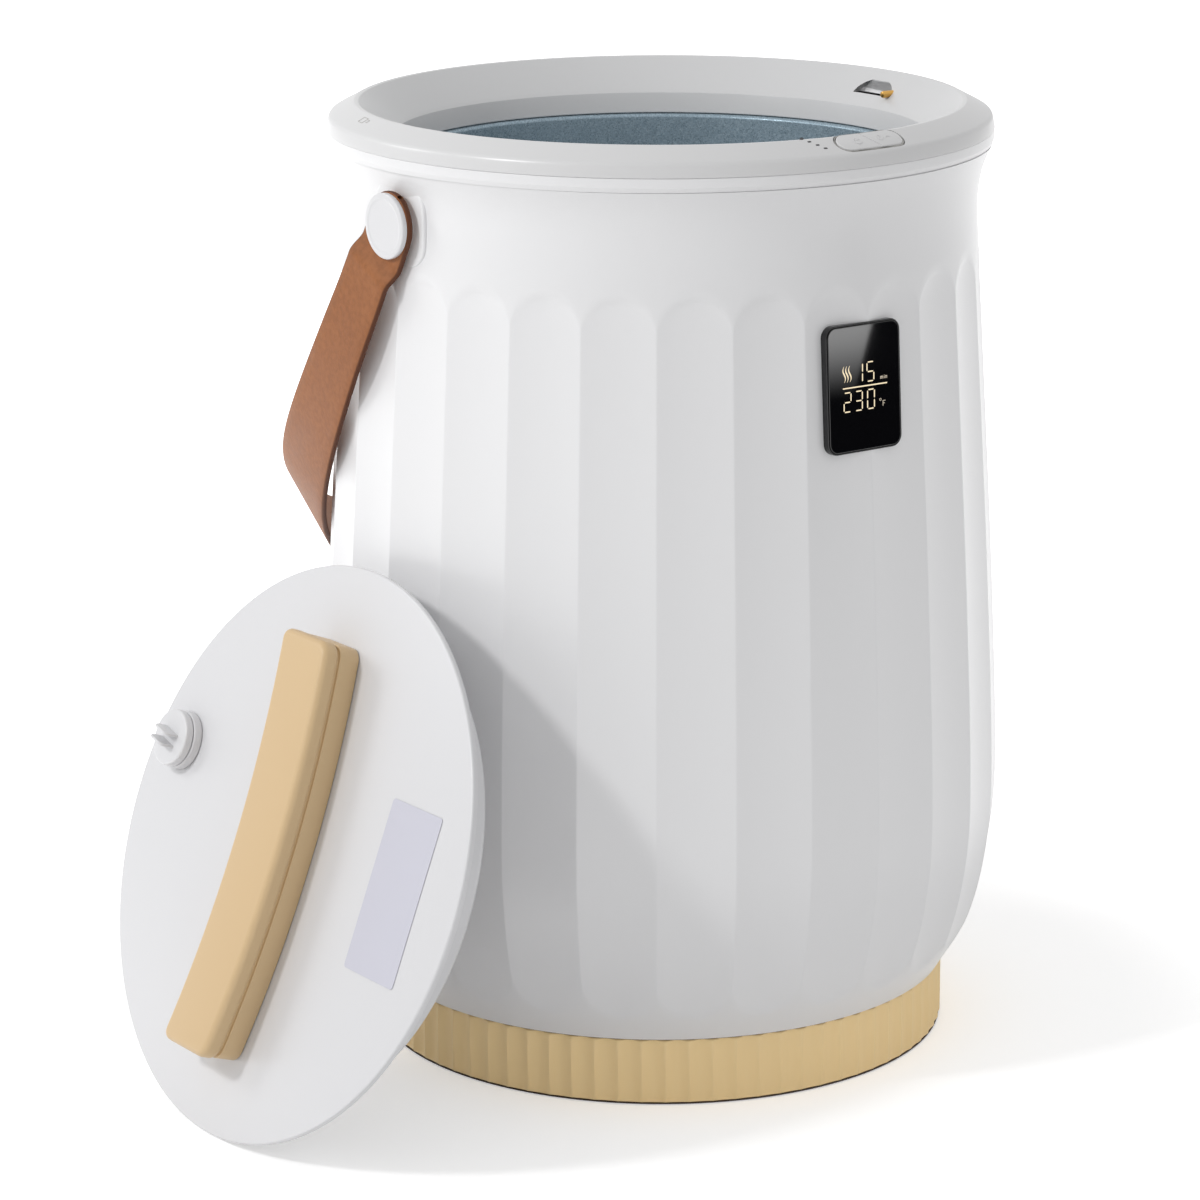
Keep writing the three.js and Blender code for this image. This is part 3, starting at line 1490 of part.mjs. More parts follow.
const lidGroup = framed(leaningPlace());
add("lid_cover", buildLidCover(), "white", lidGroup);
add("lid_liner", buildLiner(), "white", lidGroup);
add("lid_insulation", buildLidInsulation(), "fibre", lidGroup);
add("lid_seal", buildLidSeal(), "silicone", lidGroup);
add("lid_handle_base", buildHandleBase(), "butter", lidGroup);
add("lid_handle_grip", buildHandleGrip(), "butter", lidGroup);
buildHandleScrews().forEach((body, k) => add(`lid_handle_screw_${k + 1}`, body, "steel", lidGroup));
const scentGroup = framed(new THREE.Matrix4().setPosition(scentX, scentY, 0), lidGroup);
add("scent_collar", buildScentCollar(), "white", scentGroup);
add("scent_cap", buildScentCap(), "white", scentGroup);
add("scent_pad", buildScentPad(), "fibre", scentGroup);

export default warmer;
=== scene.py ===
from math import atan2, cos, hypot, pi, radians, sin, sqrt, tan
import bpy
from mathutils import Matrix, Vector


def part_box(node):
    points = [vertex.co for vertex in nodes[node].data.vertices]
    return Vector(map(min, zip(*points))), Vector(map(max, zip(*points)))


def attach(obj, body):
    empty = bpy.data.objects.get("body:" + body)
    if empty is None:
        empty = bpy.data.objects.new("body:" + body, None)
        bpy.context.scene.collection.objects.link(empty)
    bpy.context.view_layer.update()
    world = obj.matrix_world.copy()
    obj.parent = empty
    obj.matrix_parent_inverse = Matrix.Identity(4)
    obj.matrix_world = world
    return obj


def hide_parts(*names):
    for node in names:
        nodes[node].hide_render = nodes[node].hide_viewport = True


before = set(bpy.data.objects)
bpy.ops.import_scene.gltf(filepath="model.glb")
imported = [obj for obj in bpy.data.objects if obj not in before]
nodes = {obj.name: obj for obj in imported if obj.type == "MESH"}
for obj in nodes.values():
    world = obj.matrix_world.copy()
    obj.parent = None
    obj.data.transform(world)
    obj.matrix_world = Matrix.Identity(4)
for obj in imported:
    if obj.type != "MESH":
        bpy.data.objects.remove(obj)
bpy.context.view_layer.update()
print("frame loaded,", len(nodes), "nodes")

# Metres throughout. The origin is on the bucket's axis where it stands, the display faces -Y,
# and the strap's pivots are on the X axis. Azimuths turn from -Y towards +X.

# Camera

camera = {
    "place": (-1.1248, -1.4397, 0.670),
    "heading": radians(-37.19),
    "lookUp": radians(75.08),  # from straight down
    "roll": radians(-0.19),
    "lens": 132.06,
    "sensor": 36,
}


def makeCamera():
    bpy.ops.object.camera_add()
    piece = bpy.context.object
    piece.name = "camera"
    turn = (
        Matrix.Rotation(camera["heading"], 4, "Z")
        @ Matrix.Rotation(camera["lookUp"], 4, "X")
        @ Matrix.Rotation(camera["roll"], 4, "Z")
    )
    piece.matrix_world = Matrix.Translation(camera["place"]) @ turn
    piece.data.lens = camera["lens"]
    piece.data.sensor_width = camera["sensor"]
    piece.data.clip_end = 20
    bpy.context.scene.camera = piece


makeCamera()


# Shading: effects shared by the finishes are node groups

def newGroup(name, inputs, outputs):
    group = bpy.data.node_groups.new(name, "ShaderNodeTree")
    for way, sockets in (("INPUT", inputs), ("OUTPUT", outputs)):
        for label, kind in sockets.items():
            group.interface.new_socket(label, in_out=way, socket_type="NodeSocket" + kind)
    return group, group.nodes.new("NodeGroupInput"), group.nodes.new("NodeGroupOutput")


def addNode(tree, kind, links=None, **values):
    node = tree.nodes.new(kind)
    for key, value in values.items():
        if hasattr(node, key):
            setattr(node, key, value)
        else:
            node.inputs[key.replace("_", " ")].default_value = value
    for socket, source in (links or {}).items():
        tree.links.new(source, node.inputs[socket])
    return node


def objectPlace(tree):
    return addNode(tree, "ShaderNodeTexCoord").outputs["Object"]


def noise(tree, place, scale, detail=2.0):
    return addNode(tree, "ShaderNodeTexNoise", {"Vector": place}, Scale=scale, Detail=detail).outputs["Fac"]


def mapped(tree, source, low, high, **values):
    # A value that runs from 0 to 1 made to run from low to high
    links = {"Value": source}
    return addNode(tree, "ShaderNodeMapRange", links, To_Min=low, To_Max=high, **values).outputs[0]


def mixed(tree, links, **values):
    return addNode(tree, "ShaderNodeMix", links, data_type="RGBA", **values).outputs["Result"]


def shaded(tree, color, share):
    return mixed(tree, {"B": share}, blend_type="MULTIPLY", Factor=1, A=(*color, 1))


def bumped(tree, height, strength, distance):
    links = {"Height": height}
    return addNode(tree, "ShaderNodeBump", links, Strength=strength, Distance=distance).outputs["Normal"]


def connect(tree, shader, **sources):
    for key, source in sources.items():
        tree.links.new(source, shader.inputs[key.replace("_", " ")])


def makeCloudGroup():
    # Slow, soft changes over a moulded surface: a mask for tint and gloss, and a fine height for its skin
    group, start, end = newGroup(
        "mouldedSkin",
        {"Cloud Scale": "Float", "Grain Scale": "Float"},
        {"Cloud": "Float", "Height": "Float"},
    )
    place = objectPlace(group)
    for scale, detail, output in (("Cloud Scale", 3.0, "Cloud"), ("Grain Scale", 2.0, "Height")):
        links = {"Vector": place, "Scale": start.outputs[scale]}
        pattern = addNode(group, "ShaderNodeTexNoise", links, Detail=detail)
        group.links.new(pattern.outputs["Fac"], end.inputs[output])
    return group


def makeSpeckGroup():
    # Bright and dark flakes in a coat, as on enamelled or non-stick metal
    group, start, end = newGroup(
        "speckledCoat",
        {"Scale": "Float", "Base": "Color", "Bright": "Color", "Dark": "Color"},
        {"Color": "Color", "Flake": "Float"},
    )
    links = {"Vector": objectPlace(group), "Scale": start.outputs["Scale"]}
    flakes = addNode(group, "ShaderNodeTexVoronoi", links)
    shade = addNode(group, "ShaderNodeSeparateColor", {"Color": flakes.outputs["Color"]})
    color = start.outputs["Base"]
    for flake, channel, level in (("Bright", "Red", 0.72), ("Dark", "Green", 0.8)):
        share = addNode(group, "ShaderNodeMath", {0: shade.outputs[channel]}, operation="GREATER_THAN")
        share.inputs[1].default_value = level
        color = mixed(group, {"Factor": share.outputs[0], "A": color, "B": start.outputs[flake]})
    group.links.new(color, end.inputs["Color"])
    group.links.new(shade.outputs["Blue"], end.inputs["Flake"])
    return group


mouldedSkin = makeCloudGroup()
speckledCoat = makeSpeckGroup()


def plainFinish(name, color, roughness, metallic=0.0, **sockets):
    finish = bpy.data.materials.new(name)
    finish.use_nodes = True
    shader = finish.node_tree.nodes["Principled BSDF"]
    shader.inputs["Base Color"].default_value = (*color, 1)
    shader.inputs["Roughness"].default_value = roughness
    shader.inputs["Metallic"].default_value = metallic
    for key, value in sockets.items():
        shader.inputs[key.replace("_", " ")].default_value = value
    return finish, finish.node_tree, shader


def mouldedFinish(
    name, color, roughness, tint=0.03, skin=0.02, cloudScale=9.0, grainScale=900.0, gloss=0.15, **sockets
):
    # Moulded plastic: a little cloud in its colour and gloss, and a fine skin
    finish, tree, shader = plainFinish(name, color, roughness, **sockets)
    scales = {"Cloud_Scale": cloudScale, "Grain_Scale": grainScale}
    group = addNode(tree, "ShaderNodeGroup", node_tree=mouldedSkin, **scales)
    cloud = group.outputs["Cloud"]
    connect(
        tree, shader,
        Base_Color=shaded(tree, color, mapped(tree, cloud, 1 - tint, 1 + tint / 2)),
        Roughness=mapped(tree, cloud, roughness * (1 - gloss), roughness * (1 + gloss)),
        Normal=bumped(tree, group.outputs["Height"], skin, 0.0002),
    )
    return finish


def leatherFinish():
    # Pebbled cowhide, darker where the strap's "cutEdge" is 1, as its cut edges are painted
    finish, tree, shader = plainFinish("strapLeather", (0.285, 0.107, 0.036), 0.5, Specular_IOR_Level=0.2)
    place = objectPlace(tree)
    pebbles = addNode(tree, "ShaderNodeTexVoronoi", {"Vector": place}, feature="SMOOTH_F1", Scale=1500.0)
    cloud = noise(tree, place, 55.0, 6.0)
    fine = noise(tree, place, 420.0, 4.0)
    tone = addNode(tree, "ShaderNodeValToRGB", {"Fac": cloud})
    for k, (position, color) in enumerate([(0.3, (0.268, 0.099, 0.034)), (0.7, (0.305, 0.118, 0.044))]):
        tone.color_ramp.elements[k].position = position
        tone.color_ramp.elements[k].color = (*color, 1)
    flecks = mapped(tree, fine, 0.9, 1.08, From_Min=0.35, From_Max=0.65)
    top = mixed(tree, {"A": tone.outputs["Color"], "B": flecks}, blend_type="MULTIPLY", Factor=1)
    edge = addNode(tree, "ShaderNodeAttribute", attribute_name="cutEdge").outputs["Fac"]
    height = addNode(tree, "ShaderNodeMath", {0: pebbles.outputs["Distance"], 1: fine}, operation="ADD")
    connect(
        tree, shader,
        Base_Color=mixed(tree, {"Factor": edge, "A": top}, B=(0.10, 0.035, 0.016, 1)),
        Roughness=mapped(tree, cloud, 0.42, 0.6),
        Normal=bumped(tree, height.outputs[0], 0.35, 0.0002),
    )
    return finish


def coatFinish():
    # The bucket's blue-grey speckled coat
    finish, tree, shader = plainFinish("bucketCoat", (0.24, 0.33, 0.38), 0.38, 0.45)
    coat = addNode(
        tree, "ShaderNodeGroup", node_tree=speckledCoat, Scale=2200, Base=(0.27, 0.355, 0.415, 1),
        Bright=(0.35, 0.44, 0.50, 1), Dark=(0.20, 0.275, 0.325, 1),
    )
    flake = coat.outputs["Flake"]
    connect(
        tree, shader,
        Base_Color=coat.outputs["Color"],
        Roughness=mapped(tree, flake, 0.25, 0.5),
        Normal=bumped(tree, flake, 0.15, 0.0001),
    )
    return finish


def metalFinish(name, color, roughness, stretch=(1, 1, 60)):
    # Brushed or turned metal: fine scratches drawn out along one axis
    finish, tree, shader = plainFinish(name, color, roughness, 1.0)
    mapping = addNode(tree, "ShaderNodeMapping", {"Vector": objectPlace(tree)}, Scale=stretch)
    lines = noise(tree, mapping.outputs[0], 160.0, 5.0)
    gloss = mapped(tree, lines, roughness * 0.6, roughness * 1.5)
    connect(tree, shader, Roughness=gloss, Normal=bumped(tree, lines, 0.1, 0.0001))
    return finish


def fibreFinish(name, color):
    # Felted fibre: tangled threads and uneven colour
    finish, tree, shader = plainFinish(name, color, 0.95)
    threads = noise(tree, objectPlace(tree), 500.0, 6.0)
    tone = shaded(tree, color, mapped(tree, threads, 0.6, 1.25))
    connect(tree, shader, Base_Color=tone, Normal=bumped(tree, threads, 0.6, 0.0005))
    return finish


def litFinish(name, color, strength):
    # Lit parts of the read-out: a little uneven, as light through a diffuser is
    finish, tree, shader = plainFinish(name, (0.02, 0.02, 0.02), 0.5, Emission_Strength=strength)
    glow = mapped(tree, noise(tree, objectPlace(tree), 300.0), 0.85, 1.1)
    connect(tree, shader, Emission_Color=shaded(tree, color, glow))
    return finish


evenSkin = {"tint": 0.003, "cloudScale": 60.0, "gloss": 0.03}
satinSkin = {"tint": 0.02, "skin": 0.06, "grainScale": 1400.0}
finishes = {
    "shellWhite": mouldedFinish("shellWhite", (0.79, 0.79, 0.80), 0.3, **evenSkin),
    # The rim's white is the shell's white plastic painted darker: painted shade on the collar, the keys and
    # their marks.
    "rimWhitePaintedShade": mouldedFinish("rimWhitePaintedShade", (0.665, 0.665, 0.67), 0.3, **evenSkin),
    "frameGrey": mouldedFinish("frameGrey", (0.42, 0.41, 0.39), 0.4, tint=0.01),
    # The lid's white is the shell's white plastic painted darker: painted shade that tones down the key
    # lamp's light on the lid, its parts and the pivot caps.
    "lidWhitePaintedShade": mouldedFinish("lidWhitePaintedShade", (0.675, 0.675, 0.69), 0.3, **evenSkin),
    # The handle and the base ring are one butter plastic. The base ring's copy is painted much brighter, as
    # painted light standing in for light bounced up from the white floor.
    "butter": mouldedFinish("butterPlastic", (0.62, 0.445, 0.245), 0.42, **satinSkin),
    "butterBasePaintedBounce": mouldedFinish("butterBasePaintedBounce", (0.97, 0.73, 0.38), 0.42, **satinSkin),
    "brown": mouldedFinish("brownPlastic", (0.035, 0.016, 0.010), 0.55, tint=0.2),
    "dark": mouldedFinish("darkPlastic", (0.045, 0.045, 0.05), 0.5, tint=0.2),
    "blue": mouldedFinish("bluePlastic", (0.025, 0.07, 0.24), 0.4, tint=0.15),
    "circuit": mouldedFinish("circuitBoard", (0.025, 0.13, 0.05), 0.4, tint=0.3, cloudScale=60.0),
    "rubber": mouldedFinish("blackRubber", (0.03, 0.03, 0.032), 0.75, tint=0.25, skin=0.1),
    "silicone": mouldedFinish("silicone", (0.62, 0.62, 0.61), 0.6, tint=0.06),
    "film": mouldedFinish("heaterFilm", (0.42, 0.13, 0.03), 0.4, tint=0.3, cloudScale=90.0),
    "label": mouldedFinish("blankLabel", (0.56, 0.56, 0.635), 0.5, tint=0.01),
    "bezel": mouldedFinish("bezelBlack", (0.010, 0.010, 0.011), 0.12, tint=0.2, Specular_IOR_Level=0.4),
    "glass": mouldedFinish("displayGlass", (0.004, 0.004, 0.005), 0.03, tint=0.1, skin=0.0),
    "leather": leatherFinish(),
    "coat": coatFinish(),
    "steel": metalFinish("brushedSteel", (0.6, 0.61, 0.62), 0.32),
    "brass": metalFinish("turnedBrass", (0.62, 0.36, 0.10), 0.3, stretch=(40, 1, 1)),
    "fibre": fibreFinish("feltedFibre", (0.62, 0.58, 0.48)),
    "lit": litFinish("litDigits", (1.0, 0.83, 0.55), 1.0),
    "litDim": litFinish("litSmallMarks", (1.0, 0.86, 0.66), 0.55),
}
print("finishes made,", len(finishes))


# Making pieces

def deselect():
    bpy.ops.object.select_all(action="DESELECT")


def choose(*pieces):
    # Only these are selected, and the first is active
    deselect()
    for piece in pieces:
        piece.select_set(True)
    bpy.context.view_layer.objects.active = pieces[0]


def filleted(corners, steps=4):
    # A closed outline from corners (x, y, fillet): each fillet becomes an arc
    outline = []
    for k, (x, y, fillet) in enumerate(corners):
        here = Vector((x, y, 0))
        if not fillet:
            outline.append((x, y))
            continue
        before = Vector((*corners[k - 1][:2], 0)) - here
        after = Vector((*corners[(k + 1) % len(corners)][:2], 0)) - here
        before.normalize()
        after.normalize()
        half = before.angle(after) / 2
        middle = here + (before + after).normalized() * fillet / sin(half)
        start = here + before * fillet / tan(half) - middle
        end = here + after * fillet / tan(half) - middle
        for step in range(steps + 1):
            point = middle + start.slerp(end, step / steps).normalized() * fillet
            outline.append((point.x, point.y))
    return outline


def drawn(points):
    # One vertex, extruded from point to point
    deselect()
    bpy.ops.mesh.primitive_plane_add(size=0.001, location=points[0])
    bpy.ops.object.transform_apply(location=True)
    bpy.ops.object.mode_set(mode="EDIT")
    bpy.ops.mesh.select_mode(type="VERT")
    bpy.ops.mesh.select_all(action="SELECT")
    bpy.ops.mesh.merge(type="CENTER")
    for start, end in zip(points, points[1:]):
        step = [b - a for a, b in zip(start, end)]
        bpy.ops.mesh.extrude_region_move(TRANSFORM_OT_translate={"value": step})
    return bpy.context.object


def closed(piece, merged=True):
    # The end of editing: corners that meet are merged, and the normals look outward
    bpy.ops.mesh.select_all(action="SELECT")
    if merged:
        bpy.ops.mesh.remove_doubles(threshold=1e-6)
    bpy.ops.mesh.normals_make_consistent(inside=False)
    bpy.ops.object.mode_set(mode="OBJECT")
    return piece


def spun(outline, steps, closedLoop=True):
    # A solid of revolution about Z from (radius, height) points
    points = [(radius, 0, height) for radius, height in outline]
    if closedLoop:
        points.append(points[0])
    piece = drawn(points)
    bpy.ops.mesh.select_all(action="SELECT")
    bpy.ops.mesh.spin(steps=steps, angle=2 * pi, center=(0, 0, 0), axis=(0, 0, 1))
    return closed(piece)


def spunFrom(corners, steps, arcSteps=4):
    return spun(filleted(corners, arcSteps), steps)


def raisedFrom(outline, bottom, top):
    # An outline in plan, filled and extruded up
    piece = drawn([(x, y, bottom) for x, y in outline])
    bpy.ops.mesh.select_all(action="SELECT")
    bpy.ops.mesh.edge_face_add()
    bpy.ops.mesh.extrude_region_move(TRANSFORM_OT_translate={"value": (0, 0, top - bottom)})
    return closed(piece, merged=False)


def withModifier(piece, kind, **values):
    choose(piece)
    modifier = piece.modifiers.new(kind.lower(), kind)
    for key, value in values.items():
        setattr(modifier, key, value)
    bpy.ops.object.modifier_apply(modifier=modifier.name)
    return piece


def softened(piece, width, segments=3, angle=35):
    limit = {"limit_method": "ANGLE", "angle_limit": radians(angle)}
    return withModifier(piece, "BEVEL", width=width, segments=segments, **limit)


def carved(piece, cutter, operation="DIFFERENCE"):
    withModifier(piece, "BOOLEAN", object=cutter, operation=operation, solver="EXACT")
    bpy.data.objects.remove(cutter)
    return piece


def settled(piece, matrix):
    # The place goes into the mesh, and the object stays at the origin
    choose(piece)
    piece.matrix_world = matrix
    bpy.ops.object.transform_apply(location=True, rotation=True, scale=True)
    return piece


def joined(*pieces):
    choose(*pieces)
    bpy.ops.object.join()
    return pieces[0]


def wrapped(columns, rows, placeOf):
    # A grid whose corners each go to placeOf(column, row), merged where its sides meet
    deselect()
    bpy.ops.mesh.primitive_grid_add(x_subdivisions=columns, y_subdivisions=rows, size=2)
    piece = bpy.context.object
    for corner in piece.data.vertices:
        column = round((corner.co.x + 1) / 2 * columns)
        row = round((corner.co.y + 1) / 2 * rows)
        corner.co = placeOf(column, row)
    choose(piece)
    bpy.ops.object.mode_set(mode="EDIT")
    return closed(piece)


def finished(piece, name, body, finish, stands=(), smooth=32):
    choose(piece)
    bpy.ops.object.shade_smooth_by_angle(angle=radians(smooth))
    piece.name = name
    piece.data.name = name
    piece.data.materials.clear()
    piece.data.materials.append(finishes[finish])
    if stands:
        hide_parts(*stands)
    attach(piece, body)
    return piece


# Outlines in plan

def boxCorners(x, y, width, height):
    # Round x, y, from the lower left corner anticlockwise
    half, up = width / 2, height / 2
    return [(x - half, y - up), (x + half, y - up), (x + half, y + up), (x - half, y + up)]


def roundedBox(width, height, corner, steps=8):
    x, y = width / 2, height / 2
    return filleted([(x, -y, corner), (x, y, corner), (-x, y, corner), (-x, -y, corner)], steps)


def shifted(outline, x, y):
    return [(x + px, y + py) for px, py in outline]


def bar(x, y, length, width, angle):
    c, s = cos(angle), sin(angle)
    return shifted([(px * c - py * s, px * s + py * c) for px, py in boxCorners(0, 0, length, width)], x, y)


def ringOutline(radius, width, start, end, steps):
    outer = [(radius + width / 2, start + (end - start) * k / steps) for k in range(steps + 1)]
    inner = [(radius - width / 2, start + (end - start) * k / steps) for k in range(steps, -1, -1)]
    return [(r * sin(a), r * cos(a)) for r, a in outer + inner]


# Places

def onCircle(radius, azimuth):
    return radius * sin(azimuth), -radius * cos(azimuth)


def facePlace(azimuth, radius, height, lean):
    # X along the circle, Y up the face, Z out of it, leaning up
    x, y = onCircle(1, azimuth)
    out = Vector((x * cos(lean), y * cos(lean), sin(lean)))
    along = Vector((-y, x, 0))
    turn = Matrix((along, out.cross(along), out)).transposed().to_4x4()
    return Matrix.Translation((radius * x, radius * y, height)) @ turn


def smoothStep(value, low, high):
    share = min(max((value - low) / (high - low), 0), 1)
    return share * share * (3 - 2 * share)


# The fluted shell

shell = {
    "knots": [  # height, radius of the ridges
        (0.0287, 0.1232), (0.04995, 0.1354), (0.0801, 0.1428), (0.1119, 0.1451),
        (0.2001, 0.1417), (0.3, 0.1359), (0.3723, 0.1316), (0.3829, 0.1316),
    ],
    "flutes": 28,
    "columnsPerFlute": 12,
    "depth": 0.0017,
    "end": 0.015,  # length of a flute's round end
    "low": 0.041,
    "high": 0.341,
    "belly": 0.115,  # where the wide rows begin
    "neck": 0.3655,
    "endPull": 0.045,  # how far from a flute's end the rows of corners still follow its arch
    "neckPull": 0.03,
    "lowPull": 0.9,
    "bottom": 0.0287,
    "top": 0.3829,
    "flare": {
        "frontLength": 0.036, "backLength": 0.0089, "frontReach": 0.0073, "backReach": 0.004,
        "sharpness": 2.2,
    },
    "wall": 0.0042,
    "foot": 0.0112,  # width of the lower edge
    "innerHeights": [0.3829, 0.36, 0.25, 0.11, 0.06, 0.0312, 0.0287],
}


def ridgeRadius(height):
    knots = shell["knots"]
    last = len(knots) - 1
    k = 0
    while k < last - 1 and height > knots[k + 1][0]:
        k += 1

    def slope(i):
        before, after = knots[max(i - 1, 0)], knots[min(i + 1, last)]
        return (after[1] - before[1]) / (after[0] - before[0])

    (start, startValue), (end, endValue) = knots[k], knots[k + 1]
    span = end - start
    t = (height - start) / span
    rise = t * t * (3 - 2 * t)
    leave = t * (1 - t) * (1 - t) * span * slope(k)
    arrive = t * t * (t - 1) * span * slope(k + 1)
    return startValue * (1 - rise) + endValue * rise + leave + arrive


def flareReach(azimuth, height):
    flare = shell["flare"]
    front = cos(azimuth / 2) ** 2
    length = flare["backLength"] + (flare["frontLength"] - flare["backLength"]) * front
    reach = flare["backReach"] + (flare["frontReach"] - flare["backReach"]) * front
    rise = max(0, (height - shell["top"] + length) / length)
    return reach * rise ** flare["sharpness"]


def fluteSink(across, height):
    # A shallow round trough, ended by an arch above and below
    room = min(height - shell["low"], shell["high"] - height)
    if room <= 0:
        return 0
    openness = 1 - (1 - min(room / shell["end"], 1)) ** 2
    inside = openness - across * across
    if inside <= 0:
        return 0
    return shell["depth"] * inside / sqrt(openness)


def shellHeights():
    # Rows close together at the arches, wide apart between them
    low, high, end, belly, neck = (shell[key] for key in ("low", "high", "end", "belly", "neck"))
    spans = [  # from, to, rows
        (shell["bottom"], low, 5), (low, low + end, 7), (low + end, belly, 7), (belly, high - 0.05, 16),
        (high - 0.05, high - end, 5), (high - end, high, 8), (high, neck, 8), (neck, shell["top"], 8),
    ]
    heights = [shell["bottom"]]
    for start, finish, count in spans:
        heights += [start + (finish - start) * (k + 1) / count for k in range(count)]
    return heights


def near(height, level, below, above):
    # 1 at the level, and 0 from that far below it or above it
    if height > level:
        return 1 - smoothStep(height, level, level + above)
    return smoothStep(height, level - below, level)


def makeShell():
    heights, inner = shellHeights(), shell["innerHeights"]
    rows = len(heights) + len(inner)
    perFlute = shell["columnsPerFlute"]
    columns = shell["flutes"] * perFlute
    low, high = shell["low"], shell["high"]

    def placeOf(column, row):
        row %= rows
        turn = (column % perFlute) / perFlute * 2 - 1
        across = sin(turn * pi / 2)
        azimuth = ((column // perFlute) + (across + 1) / 2) / shell["flutes"] * 2 * pi
        if row >= len(heights):
            height = inner[row - len(heights)]
            radius = ridgeRadius(height) - shell["wall"]
            if row == rows - 1:
                radius = shell["knots"][0][1] - shell["foot"]
            return (*onCircle(radius, azimuth), height)
        height = heights[row]
        arch = shell["end"] * (1 - sqrt(max(0, 1 - across * across)))
        height -= arch * near(height, high, shell["endPull"], shell["neckPull"])
        height += arch * shell["lowPull"] * near(height, low, low - shell["bottom"], shell["endPull"])
        radius = ridgeRadius(height) + flareReach(azimuth, height) - fluteSink(across, height)
        return (*onCircle(radius, azimuth), height)

    piece = wrapped(columns, rows, placeOf)
    return finished(piece, "flutedShell", "body", "shellWhite", ["outer_shell"], smooth=50)


makeShell()
print("shell made")


# The rim: collar and bead

rim = {
    "crest": (0.1275, 0.4002),  # radius, height
    "shoulder": (0.1382, 0.3946),
    "seam": (0.1393, 0.3888),
    "ledge": (0.1116, 0.3863),
    "mouth": (0.1096, 0.377),
    "wall": 0.0024,
    "steps": 336,
}
slope = {"azimuth": 0.0157, "radius": 0.1317}  # middle of the buttons
(crest, crestHeight), (shoulder, shoulderHeight) = rim["crest"], rim["shoulder"]
slope["angle"] = atan2(crestHeight - shoulderHeight, shoulder - crest)
slope["height"] = crestHeight - (slope["radius"] - crest) * tan(slope["angle"])


def rimPoint(name, out=0, up=0):
    radius, height = rim[name]
    return radius + out, height + up


def bentOntoRim(piece):
    # From flat (X along, Y to the crest, Z out of the slope) to its place round the rim
    for corner in piece.data.vertices:
        along, upSlope, out = corner.co
        radius = slope["radius"] - upSlope * cos(slope["angle"]) + out * sin(slope["angle"])
        height = slope["height"] + upSlope * sin(slope["angle"]) + out * cos(slope["angle"])
        corner.co = (*onCircle(radius, slope["azimuth"] + along / slope["radius"]), height)
    return piece


buttons = {
    "length": 0.0325,
    "width": 0.0098,
    "gap": 0.00035,
    "frame": 0.0008,
    "recess": 0.0034,
    "proud": 0.0004,
    "mark": 0.00012,
    "frameTop": -0.00015,
    "frameFloor": -0.003,
    "keyFloor": -0.0026,
    "splitFoot": 0.00605,  # where the slanting split meets a line one width outside the middle
    "splitHead": -0.00535,
    "splitGap": 0.0005,
    "arcSteps": 14,
    "straightSteps": 10,
}


def pillOutline(growth):
    radius = buttons["width"] / 2 + growth
    reach = (buttons["length"] - buttons["width"]) / 2
    arcSteps, straightSteps = buttons["arcSteps"], buttons["straightSteps"]
    points = []
    for side in (1, -1):
        for k in range(arcSteps + 1):
            angle = side * -pi / 2 + k / arcSteps * pi
            points.append((side * reach + radius * cos(angle), radius * sin(angle)))
        for k in range(1, straightSteps):
            points.append((side * reach * (1 - 2 * k / straightSteps), side * radius))
    return points


def pill(growth, bottom, top):
    return raisedFrom(pillOutline(growth), bottom, top)


pocket = {
    "azimuth": 1.571, "halfWidth": 0.0117, "height": 0.0061, "floor": 0.3905, "back": 0.1216, "steps": 20,
    "wall": 0.001,
    "front": rim["mouth"][0],
    "opening": rim["mouth"][0] - 0.004,  # where the hollow starts, well inside the funnel
    "funnelLow": rimPoint("ledge", 0.0013, 0.0007),  # just behind the funnel's face
    "funnelHigh": rimPoint("crest", -0.0014, -0.0002),
}


def pocketBlock(growth, front, back):
    # A half-moon drawn out along the radius
    halfWidth, height = pocket["halfWidth"] + growth, pocket["height"] + growth
    points = []
    for k in range(pocket["steps"] + 1):
        angle = k / pocket["steps"] * pi
        points.append((halfWidth * cos(angle), height * sin(angle)))
    if growth:
        points = [(halfWidth, -growth), *points, (-halfWidth, -growth)]
    return settled(raisedFrom(points, front, back), facePlace(pocket["azimuth"], 0, pocket["floor"], 0))


def makePocketCup():
    # The pocket's walls behind the funnel, open to the funnel
    cup = pocketBlock(pocket["wall"], pocket["front"], pocket["back"] + pocket["wall"])
    carved(cup, pocketBlock(0, pocket["opening"], pocket["back"]))
    low, high = pocket["funnelLow"], pocket["funnelHigh"]
    bottom = (low[0] - 0.0066, low[1] - 0.0065)
    inside = [(0.00001, bottom[1]), bottom, low, high, (high[0], 0.41), (0.00001, 0.41)]
    carved(cup, spun(inside, rim["steps"]))
    # The cup takes the shell's white, brighter than the rim's around it: painted light that lifts the shade
    # inside the recess.
    return finished(cup, "pocketCup", "body", "shellWhite", smooth=30)


